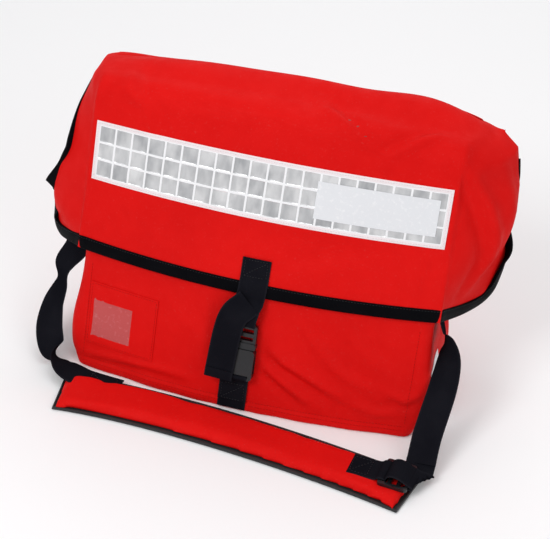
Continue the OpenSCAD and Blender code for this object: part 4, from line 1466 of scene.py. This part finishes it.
@dataclass
class Fastening:
    """Webbing down the front, from the flap's tab to the hem."""

    body: BagBody
    flap: Flap
    width: float = 38.0
    thick: float = 1.8
    centre: float = -6.0
    tab_line: tuple[Triple, ...] = (
        (213.5, 7.1, 4), (200, 7.1, 4), (188, 7.2, 4), (183, 8.2, 4), (166, 8.2, 3),
        (160.5, 8.1, 2), (156, 9.6, 2), (151.5, 12.2, 0), (146, 13.6, -1), (136, 13.7, -3),
        (125, 13.7, -4))
    tail_line: tuple[Triple, ...] = (
        (157.6, 13.4, 3), (151, 15.9, -3), (142.5, 17.1, -11), (132, 17.4, -16),
        (118, 17.8, -19), (100, 17.9, -21), (74, 17.7, -23), (58, 17.6, -24), (47, 17.5, -24.5))
    front_line: tuple[Triple, ...] = (
        (2.5, 1.25, -6), (20, 1.25, -6), (42, 1.25, -6), (50, 1.3, -6), (53.4, 2.8, -6),
        (54.7, 6.5, -6), (54.7, 11.0, -6), (54.0, 15.2, -6), (51.8, 16.1, -6),
        (49.4, 14.6, -6), (48.4, 10.0, -6), (47.4, 5.6, -6), (44.0, 3.5, -6), (36, 3.2, -6),
        (24, 3.2, -6), (14, 3.2, -6))

    def stations(self, line: Sequence[Triple], slants: Sequence[float] = ()) -> list[list[float]]:
        """Places and cross directions along a line on the front.

        Args:
            line: Slant height, distance out and sideways centre of each place.
            slants: Drop of the webbing's right edge over its width, mm, for each place.

        Returns:
            Rows of x, y, z and the direction across the webbing.
        """
        rows = []
        for i, (h, n, x) in enumerate(line):
            place = self.body.form.front(x, h, n)
            slant = slants[i] if i < len(slants) else 0.0
            across = self.body.form.front(x + 10, h - slant, n) - place
            rows.append([*place, *across])
        return rows

    def tail_end(self) -> bpy.types.Object:
        """Make the turned and sewn end of the tail."""
        line = [(47.2, 19.4, -24.5), (53, 19.5, -24.3), (60, 19.5, -24)]
        piece = webbing("tail_end_hem", self.stations(line), self.width - 0.6, self.thick)
        return piece

    def thread(self) -> tuple[bpy.types.Object, bpy.types.Object]:
        """Make the crossed box of stitches on the tab and the rows on the front webbing."""
        out = self.body.form.out
        tab = Stitches("stitches_tab", 2.6, 1.2, 0.36)
        box = ((190, -11), (190, 19), (211, 19), (211, -11), (190, -11), (211, 19))
        tab.path(box, 12, lambda h, x: self.body.form.front(x, h, 8.05), out)
        low = Stitches("stitches_front_web", 2.6, 1.2, 0.36)
        box = ((16, -21), (16, 9), (38, 9), (38, -21), (16, -21), (38, 9))
        low.path(box, 12, lambda h, x: self.body.form.front(x, h, 4.15), out)
        return tab.build(), low.build()

    def build(self) -> None:
        """Make and dress the webbing."""
        tab = webbing("flap_tab_webbing", self.stations(self.tab_line)[::-1], self.width,
                      self.thick)
        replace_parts(tab, "flap_tab", "web_bend", "flap_web")
        tail = webbing("tail_webbing", self.stations(self.tail_line, (
            7, 7, 5, 3, 1, 0.5, 0, 0, 0))[::-1], self.width, self.thick)
        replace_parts(tail, "web_tail", "tail_bend")
        front = webbing("front_webbing", self.stations(self.front_line)[::-1], self.width,
                        self.thick, 1.2)
        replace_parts(front, "front_web")
        tab_thread, low_thread = self.thread()
        start, end = self.body.form.front(-6, [163, 146], 14) * MM
        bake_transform(BLACK_WEB.dress(tail))
        for piece, body in ((tab, "flap"), (front, "root"), (self.tail_end(), "tail")):
            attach(BLACK_WEB.dress(piece), body)
            LOG.info("%s: %d points", piece.name, len(piece.data.vertices))
        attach(BLACK_THREAD.dress(tab_thread), "flap")
        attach(BLACK_THREAD.dress(low_thread), "root")


@dataclass
class ShoulderStrap:
    """Webbing from under each wing, the padded middle and the adjuster's webbing."""

    form: Form = field(default_factory=Form)
    width: float = 38.0
    thick: float = 1.8
    pad_w: float = 74.0
    pad_len: float = 490.0
    pad_route: tuple[Pair, ...] = ((-230, -151), (-100, -135), (120, -163), (255, -195))
    adjuster: Triple = (253.0, -182.0, 10.5)
    adjuster_turn: float = math.radians(-5.0)
    pivot: Pair = (-0.007, 0.128)
    skin_size: float = 0.004
    pressure: float = 4.0
    swell_frames: int = 20
    swell_limit: float = 0.004

    def anchor(self, side: int) -> list[list[float]]:
        """Route of the webbing sewn to one gusset, down to the strap's pivot."""
        w = self.form.half_w
        if side > 0:
            return [[w + 1.6, 18, 236, 0, -1, 0.3], [w + 1.6, 12, 214, 0, -1, 0.3],
                    [w + 2.4, 5, 190, 0, -1, 0.3], [w + 3.2, 0, 168, 0, -1, 0.2],
                    [w + 4, -5, 148, 0.05, -1, 0.1], [w + 7.5, -9, 134, 0.2, -0.98, 0],
                    [w + 13, -13, 122.6, 0.35, -0.94, 0]]
        return [[side * (w + 1.6), 18, 236, 0, side, -0.3 * side],
                [side * (w + 1.6), 12, 214, 0, side, -0.3 * side],
                [side * (w + 5), 5, 190, 0.25, side, -0.3 * side],
                [side * (w + 11), 0, 168, 0.55, side * 0.9, -0.3 * side],
                [side * (w + 18), -4, 148, 0.8, side * 0.6, -0.2 * side],
                [side * (w + 23), -7, 131, 1, side * 0.3, -0.1 * side]]

    def right_webbing(self) -> bpy.types.Object:
        """Make the right webbing, from the gusset down to the fold by the pad's end."""
        w = self.form.half_w
        route = self.anchor(1) + [
            [w + 19, -24, 113, 0.55, -0.83, 0], [w + 25, -44, 98, 0.8, -0.6, 0],
            [w + 25, -70, 76, 1, -0.2, 0], [w + 22, -98, 54, 1, 0, 0],
            [w + 20, -120, 38, 1, -0.05, 0], [w + 20, -138, 25, 1, -0.1, 0],
            [w + 20.5, -150, 17.5, 1, -0.1, 0]]
        return webbing("strap_webbing_right", route, self.width, self.thick)

    def left_webbing(self) -> bpy.types.Object:
        """Make the left webbing, from the gusset over the floor onto the pad."""
        w = self.form.half_w
        route = self.anchor(-1) + [
            [-w - 36, -19, 110, 0.9, -0.7, 0], [-w - 35, -30, 86, 0.6, -0.9, -0.2],
            [-w - 42, -47, 58, 0.9, -0.5, 0], [-w - 37, -72, 38, 0.9, -0.2, 0],
            [-w - 22, -97, 24, 0.7, -0.5, -0.05], [-w - 6, -110, 16.5, 0.5, -0.9, 0],
            [-w + 8, -118, 13.4, 0.25, -1, 0], [-w + 24, -124, 12.6, 0.1, -1, 0],
            [-w + 40, -128, 12.4, 0.1, -1, 0], [-w + 84, -132, 12.4, 0.1, -1, 0]]
        return webbing("strap_webbing_left", route, self.width, self.thick)

    def on_pad(self, rows: Sequence[Sequence[float]]) -> list[list[float]]:
        """Places by the adjuster, given along the pad, across it and up."""
        c, s = math.cos(self.adjuster_turn), math.sin(self.adjuster_turn)
        return [[self.adjuster[0] + x * c - y * s, self.adjuster[1] + x * s + y * c,
                 self.adjuster[2] + z, -s, c, 0.0] for x, y, z in rows]

    def corner_fold(self) -> bpy.types.Object:
        """Make the flat corner where the right webbing turns towards the adjuster."""
        half = self.width / 2
        rows = []
        s = np.linspace(0, 1, 9)
        lines = (((239.2, -146, 21.0), (277.2, -143, 21.0)),
                 ((239.5, -158, 14.2), (277, -151, 14.4)),
                 ((240, -172, 12.2), (277, -156, 12.6)),
                 ((240.5, -196, 11.7), (277.2, -162, 12.0)),
                 ((240, -202, 12.2), (278.6, -163.5, 12.8)),
                 ((240.2, -202.4, 13.9), (278.4, -164, 14.6)),
                 ((243, -201, 14.7), (270, -163.4, 15.2)))
        for a, b in lines:
            rows.append(mix(np.array(a), np.array(b), s[:, None]))
        end = self.on_pad([(6, -half, 6.2), (6, half, 6.2)])
        rows.append(mix(np.array(end[0][:3]), np.array(end[1][:3]), s[:, None]))
        end = self.on_pad([(0.5, -half, 9.2), (0.5, half, 9.2)])
        rows.append(mix(np.array(end[0][:3]), np.array(end[1][:3]), s[:, None]))
        coarse = np.array(rows)
        count = 60
        lanes = []
        for c in range(len(s)):
            lane = smooth_path(coarse[:, c], 1.0)
            keep = np.linspace(0, len(lane) - 1, count)
            lanes.append(np.stack([np.interp(keep, np.arange(len(lane)), lane[:, k])
                                   for k in range(3)], axis=1))
        grid = np.stack(lanes, axis=1)
        across = np.tile(s, (count, 1))
        along = np.tile(np.linspace(0, 0.1, count)[:, None], (1, len(s)))
        piece = cloth("strap_corner_fold", grid, 1.6, uvs=np.stack([across, along], axis=2),
                      side=-1.0)
        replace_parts(piece, "web_fold")
        return piece

    def adjuster_loop(self) -> bpy.types.Object:
        """Make the webbing sewn on the pad and looped round the adjuster's left bar."""
        rows = [(-84, 0, 2.3), (-62, 0, 2.2), (-48, 0, 1.9), (-38, 0, 1.7), (-33, 0, 1.9),
                (-30.4, 0, 3.6), (-29.8, 0, 6.2), (-31, 0, 8.8), (-35, 0, 9.7), (-39.4, 0, 8.6),
                (-42, 0, 5.9), (-47, 0, 4.3), (-62, 0, 4.2), (-80, 0, 4.2)]
        piece = webbing("adjuster_loop_webbing", self.on_pad(rows), self.width, self.thick, 1.2)
        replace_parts(piece, "adjuster_loop")
        return piece

    def hump(self) -> bpy.types.Object:
        """Make the webbing threaded over the adjuster's bars."""
        rows = [(3.5, 0, 7.8), (0.5, 0, 9.5), (-3, 0, 11.2), (-8, 0, 14.0), (-14, 0, 16.3),
                (-20, 0, 17.0), (-25, 0, 15.6), (-28.6, 0, 11.5), (-29.6, 0, 6.0),
                (-28, 0, 2.4), (-23, 0, 1.5), (-16, 0, 1.5), (-10, 0, 1.6)]
        piece = webbing("adjuster_hump_webbing", self.on_pad(rows), self.width - 0.4,
                        self.thick, 1.2)
        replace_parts(piece, "adjuster_web")
        return piece

    def outline(self, inset: float, count: int = 90) -> np.ndarray:
        """Outline of the pad, mm, at a distance inside its edge."""
        half = self.pad_w / 2 - inset
        edge = inset / self.pad_len
        t = np.linspace(edge, 1 - edge, count)
        line = bezier(self.pad_route, t)
        run = unit(np.gradient(line, axis=0))
        across = np.stack([-run[:, 1], run[:, 0]], axis=1)
        return np.concatenate([line - across * half, (line + across * half)[::-1]])

    def cushion(self) -> bpy.types.Object:
        """Make the padded cover, swollen by a short cloth simulation."""
        rings = []
        for inset, z in ((4.0, 1.9), (2.2, 2.4), (2.0, 5.2), (4.2, 8.4), (9.0, 9.6)):
            ring = self.outline(inset)
            rings.append(np.column_stack([ring, np.full(len(ring), z)]))
        piece = loft("pad_cushion", np.array(rings))
        self.close_caps(piece)
        self.inflate(piece)
        self.press(piece)
        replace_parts(piece, "pad_cover", "pad_foam")
        return piece

    def close_caps(self, piece: bpy.types.Object) -> None:
        """Turn the loft into an even skin of small faces."""
        even = piece.modifiers.new("even_skin", "REMESH")
        even.mode = "VOXEL"
        even.voxel_size = self.skin_size
        even.use_smooth_shade = True
        self.settle(piece)

    def settle(self, piece: bpy.types.Object) -> None:
        """Write the result of all modifiers into the mesh."""
        graph = bpy.context.evaluated_depsgraph_get()
        made = bpy.data.meshes.new_from_object(piece.evaluated_get(graph))
        piece.modifiers.clear()
        piece.data = made

    def inflate(self, piece: bpy.types.Object) -> None:
        """Swell the cushion with a cloth simulation and hold its moves to a limit."""
        start = np.array([v.co for v in piece.data.vertices])
        sim = piece.modifiers.new("swell", "CLOTH")
        sim.settings.use_pressure = True
        sim.settings.uniform_pressure_force = self.pressure
        sim.settings.effector_weights.gravity = 0.0
        sim.settings.quality = 4
        sim.point_cache.frame_start = 1
        sim.point_cache.frame_end = self.swell_frames
        scene = bpy.context.scene
        for frame_number in range(1, self.swell_frames + 1):
            scene.frame_set(frame_number)
        self.settle(piece)
        scene.frame_set(1)
        end = np.array([v.co for v in piece.data.vertices])
        move = end - start
        size = np.linalg.norm(move, axis=1, keepdims=True)
        move = move * np.minimum(1.0, self.swell_limit / np.maximum(size, 1e-9))
        piece.data.vertices.foreach_set("co", (start + move).ravel())
        piece.data.update()

    def press(self, piece: bpy.types.Object) -> None:
        """Flatten the cushion's underside, add its sewn channel and soft dents."""
        co = np.array([v.co for v in piece.data.vertices]) / MM
        t = np.linspace(0, 1, 240)
        line = bezier(self.pad_route, t)
        run = unit(np.gradient(line, axis=0))
        gap = co[:, None, :2] - line[None, :, :]
        nearest = np.argmin(np.sum(gap ** 2, axis=2), axis=1)
        off = co[:, :2] - line[nearest]
        across = off[:, 0] * -run[nearest, 1] + off[:, 1] * run[nearest, 0]
        along = t[nearest] * self.pad_len
        rim = self.pad_w / 2 - np.abs(across)
        ends = np.minimum(along, self.pad_len - along)
        rim = np.minimum(rim, ends)
        upper = ease(co[:, 2], 4.0, 7.0)
        channel = -1.5 * np.exp(-((rim - 7.0) / 1.8) ** 2) * upper
        dents = (-1.3 * np.exp(-((along - 176.0) / 12.0) ** 2)
                 - 1.6 * np.exp(-((along - 330.0) / 14.0) ** 2)
                 + 0.8 * ripple(along, across, 90.0, 41)) * upper
        crown = 1.0 * np.clip(1 - (across / 34.0) ** 2, 0, 1) * upper
        co[:, 2] = np.maximum(co[:, 2] + channel + dents + crown, 1.7)
        piece.data.vertices.foreach_set("co", (co * MM).ravel())
        piece.data.update()
        piece.data.polygons.foreach_set("use_smooth", [True] * len(piece.data.polygons))
        soft = piece.modifiers.new("softened", "SUBSURF")
        soft.levels = soft.render_levels = 1
        self.settle(piece)

    def backing(self) -> bpy.types.Object:
        """Make the black cloth under the pad, turned up round its edge."""
        rings = []
        for inset, z in ((2.0, 0.15), (0.2, 0.6), (-0.2, 1.6), (0.1, 3.0), (0.6, 4.2),
                         (2.6, 4.0), (3.4, 1.7)):
            ring = self.outline(inset)
            rings.append(np.column_stack([ring, np.full(len(ring), z)]))
        piece = loft("pad_backing_cloth", np.array(rings))
        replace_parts(piece, "pad_backing")
        return piece

    def thread(self) -> bpy.types.Object:
        """Make the crossed box of stitches on the adjuster's loop and the rows on the sewn webbing.
        """
        rows = Stitches("stitches_strap", 2.8, 1.6, 0.36)
        box = ((-78, -14), (-78, 14), (-54, 14), (-54, -14), (-78, -14), (-54, 14))
        upward = (0, 0, 1.0)
        rows.path(box, 12, lambda x, y: np.array(self.on_pad(
            [(a, b, 5.15) for a, b in zip(x, y)]))[:, :3], upward)
        for run in (((-196, -113), (-196, -143)), ((-160, -116), (-160, -146)),
                    ((-196, -113), (-160, -146))):
            rows.path(run, 12, lambda x, y: np.stack([x, y, np.full(12, 13.35)], axis=1), upward)
        return rows.build()

    def build(self) -> None:
        """Make and dress every piece of the strap."""
        for piece, nodes in ((self.left_webbing(), ("strap_web_left", "strap_anchor_left")),
                             (self.right_webbing(), ("strap_web_right", "strap_anchor_right"))):
            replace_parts(BLACK_WEB.dress(piece), *nodes)
            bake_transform(piece)
        fold = BLACK_WEB.dress(self.corner_fold())
        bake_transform(fold)
        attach(BLACK_WEB.dress(self.adjuster_loop()), "strap")
        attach(BLACK_WEB.dress(self.hump()), "adjuster")
        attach(RED.dress(self.cushion()), "strap")
        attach(BLACK_BACKING.dress(self.backing()), "strap")
        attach(BLACK_THREAD.dress(self.thread()), "strap")
        LOG.info("strap built")


# ---- Studio ------------------------------------------------------------------


@dataclass(frozen=True)
class Studio:
    """Floor, soft lights and camera."""

    aim: Triple = (0.03614, -0.085, 0.22053)
    distance: float = 2.20393
    yaw: float = math.radians(13.74)
    pitch: float = math.radians(35.02)
    roll: float = math.radians(3.86)
    lens: float = 115.2

    def camera(self) -> None:
        """Make the camera."""
        ahead = Vector((-math.sin(self.yaw) * math.cos(self.pitch),
                        math.cos(self.yaw) * math.cos(self.pitch), -math.sin(self.pitch)))
        level = Vector((math.cos(self.yaw), math.sin(self.yaw), 0.0))
        up = level.cross(ahead)
        right = level * math.cos(self.roll) + up * math.sin(self.roll)
        above = up * math.cos(self.roll) - level * math.sin(self.roll)
        data = bpy.data.cameras.new("studio_camera")
        data.lens = self.lens
        data.clip_end = 50.0
        camera = bpy.data.objects.new("studio_camera", data)
        turn = Matrix((right, above, -ahead)).transposed().to_4x4()
        camera.matrix_world = Matrix.Translation(Vector(self.aim) - ahead * self.distance) @ turn
        bpy.context.scene.collection.objects.link(camera)
        bpy.context.scene.camera = camera

    def light(self, name: str, place: Triple, size: float, power: float) -> None:
        """Make one square soft light aimed at the pouch."""
        data = bpy.data.lights.new(name, "AREA")
        data.size = size
        data.energy = power
        lamp = bpy.data.objects.new(name, data)
        lamp.location = place
        toward = Vector(self.aim) - Vector(place)
        lamp.rotation_euler = toward.to_track_quat("-Z", "Y").to_euler()
        bpy.context.scene.collection.objects.link(lamp)

    def floor(self) -> None:
        """Make the pale floor."""
        xs = ys = np.linspace(-9000, 9000, 13)
        verts = np.array([[x, y, -0.4] for y in ys for x in xs])
        cols = len(xs)
        faces = [[r * cols + c, r * cols + c + 1, (r + 1) * cols + c + 1, (r + 1) * cols + c]
                 for r in range(len(ys) - 1) for c in range(cols - 1)]
        piece = new_piece("studio_floor", verts, faces, None, 180.0)
        made = bpy.data.materials.new("studio_paper")
        made.use_nodes = True
        shader = made.node_tree.nodes["Principled BSDF"]
        shader.inputs["Base Color"].default_value = (0.93, 0.93, 0.94, 1.0)
        shader.inputs["Roughness"].default_value = 0.6
        shader.inputs["Specular IOR Level"].default_value = 0.25
        piece.data.materials.append(made)

    def build(self) -> None:
        """Make the whole studio."""
        self.camera()
        self.floor()
        world = bpy.data.worlds.new("studio_air")
        world.use_nodes = True
        world.node_tree.nodes["Background"].inputs["Color"].default_value = (1, 1, 1, 1)
        world.node_tree.nodes["Background"].inputs["Strength"].default_value = 0.52
        bpy.context.scene.world = world
        self.light("key_light", (-0.9, -1.9, 2.1), 1.0, 29.0)
        self.light("fill_light", (1.7, -1.5, 1.5), 1.4, 10.0)
        self.light("top_light", (0.1, 0.5, 2.6), 1.6, 12.0)
        self.light("back_light", (0.0, 2.6, 2.4), 3.0, 26.0)
        bpy.context.scene.view_settings.view_transform = "Standard"
        LOG.info("studio ready")


# ---- Carried-over solids -----------------------------------------------------


def dress_solids() -> None:
    """Put finishes and softened edges on the moulded parts that keep their shape."""
    moulded = ("receiver_base", "receiver_back", "receiver_front", "receiver_post_left",
               "receiver_post_right", "buckle_plug", "plug_arm_left", "plug_arm_right",
               "strap_adjuster")
    for name in moulded:
        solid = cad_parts[name]
        PLASTIC.dress(solid)
        rounding = solid.modifiers.new("edge_rounding", "BEVEL")
        rounding.width = 0.0007
        rounding.segments = 3
        rounding.limit_method = "ANGLE"
        rounding.angle_limit = math.radians(35)
        rounding.harden_normals = False
    BOARD.dress(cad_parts["base_board"])
    LOG.info("moulded parts dressed")


def main() -> None:
    """Build the studio and every sub-assembly in order."""
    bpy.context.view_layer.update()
    Studio().build()
    body, flap = BagBody(FORM), Flap(FORM)
    body.build()
    flap.build()
    ReflectiveStrip(flap).build()
    Fastening(body, flap).build()
    ShoulderStrap(FORM).build()
    dress_solids()


logging.basicConfig(level=logging.INFO, format="%(name)s: %(message)s")

if __name__ == "__main__":
    main()
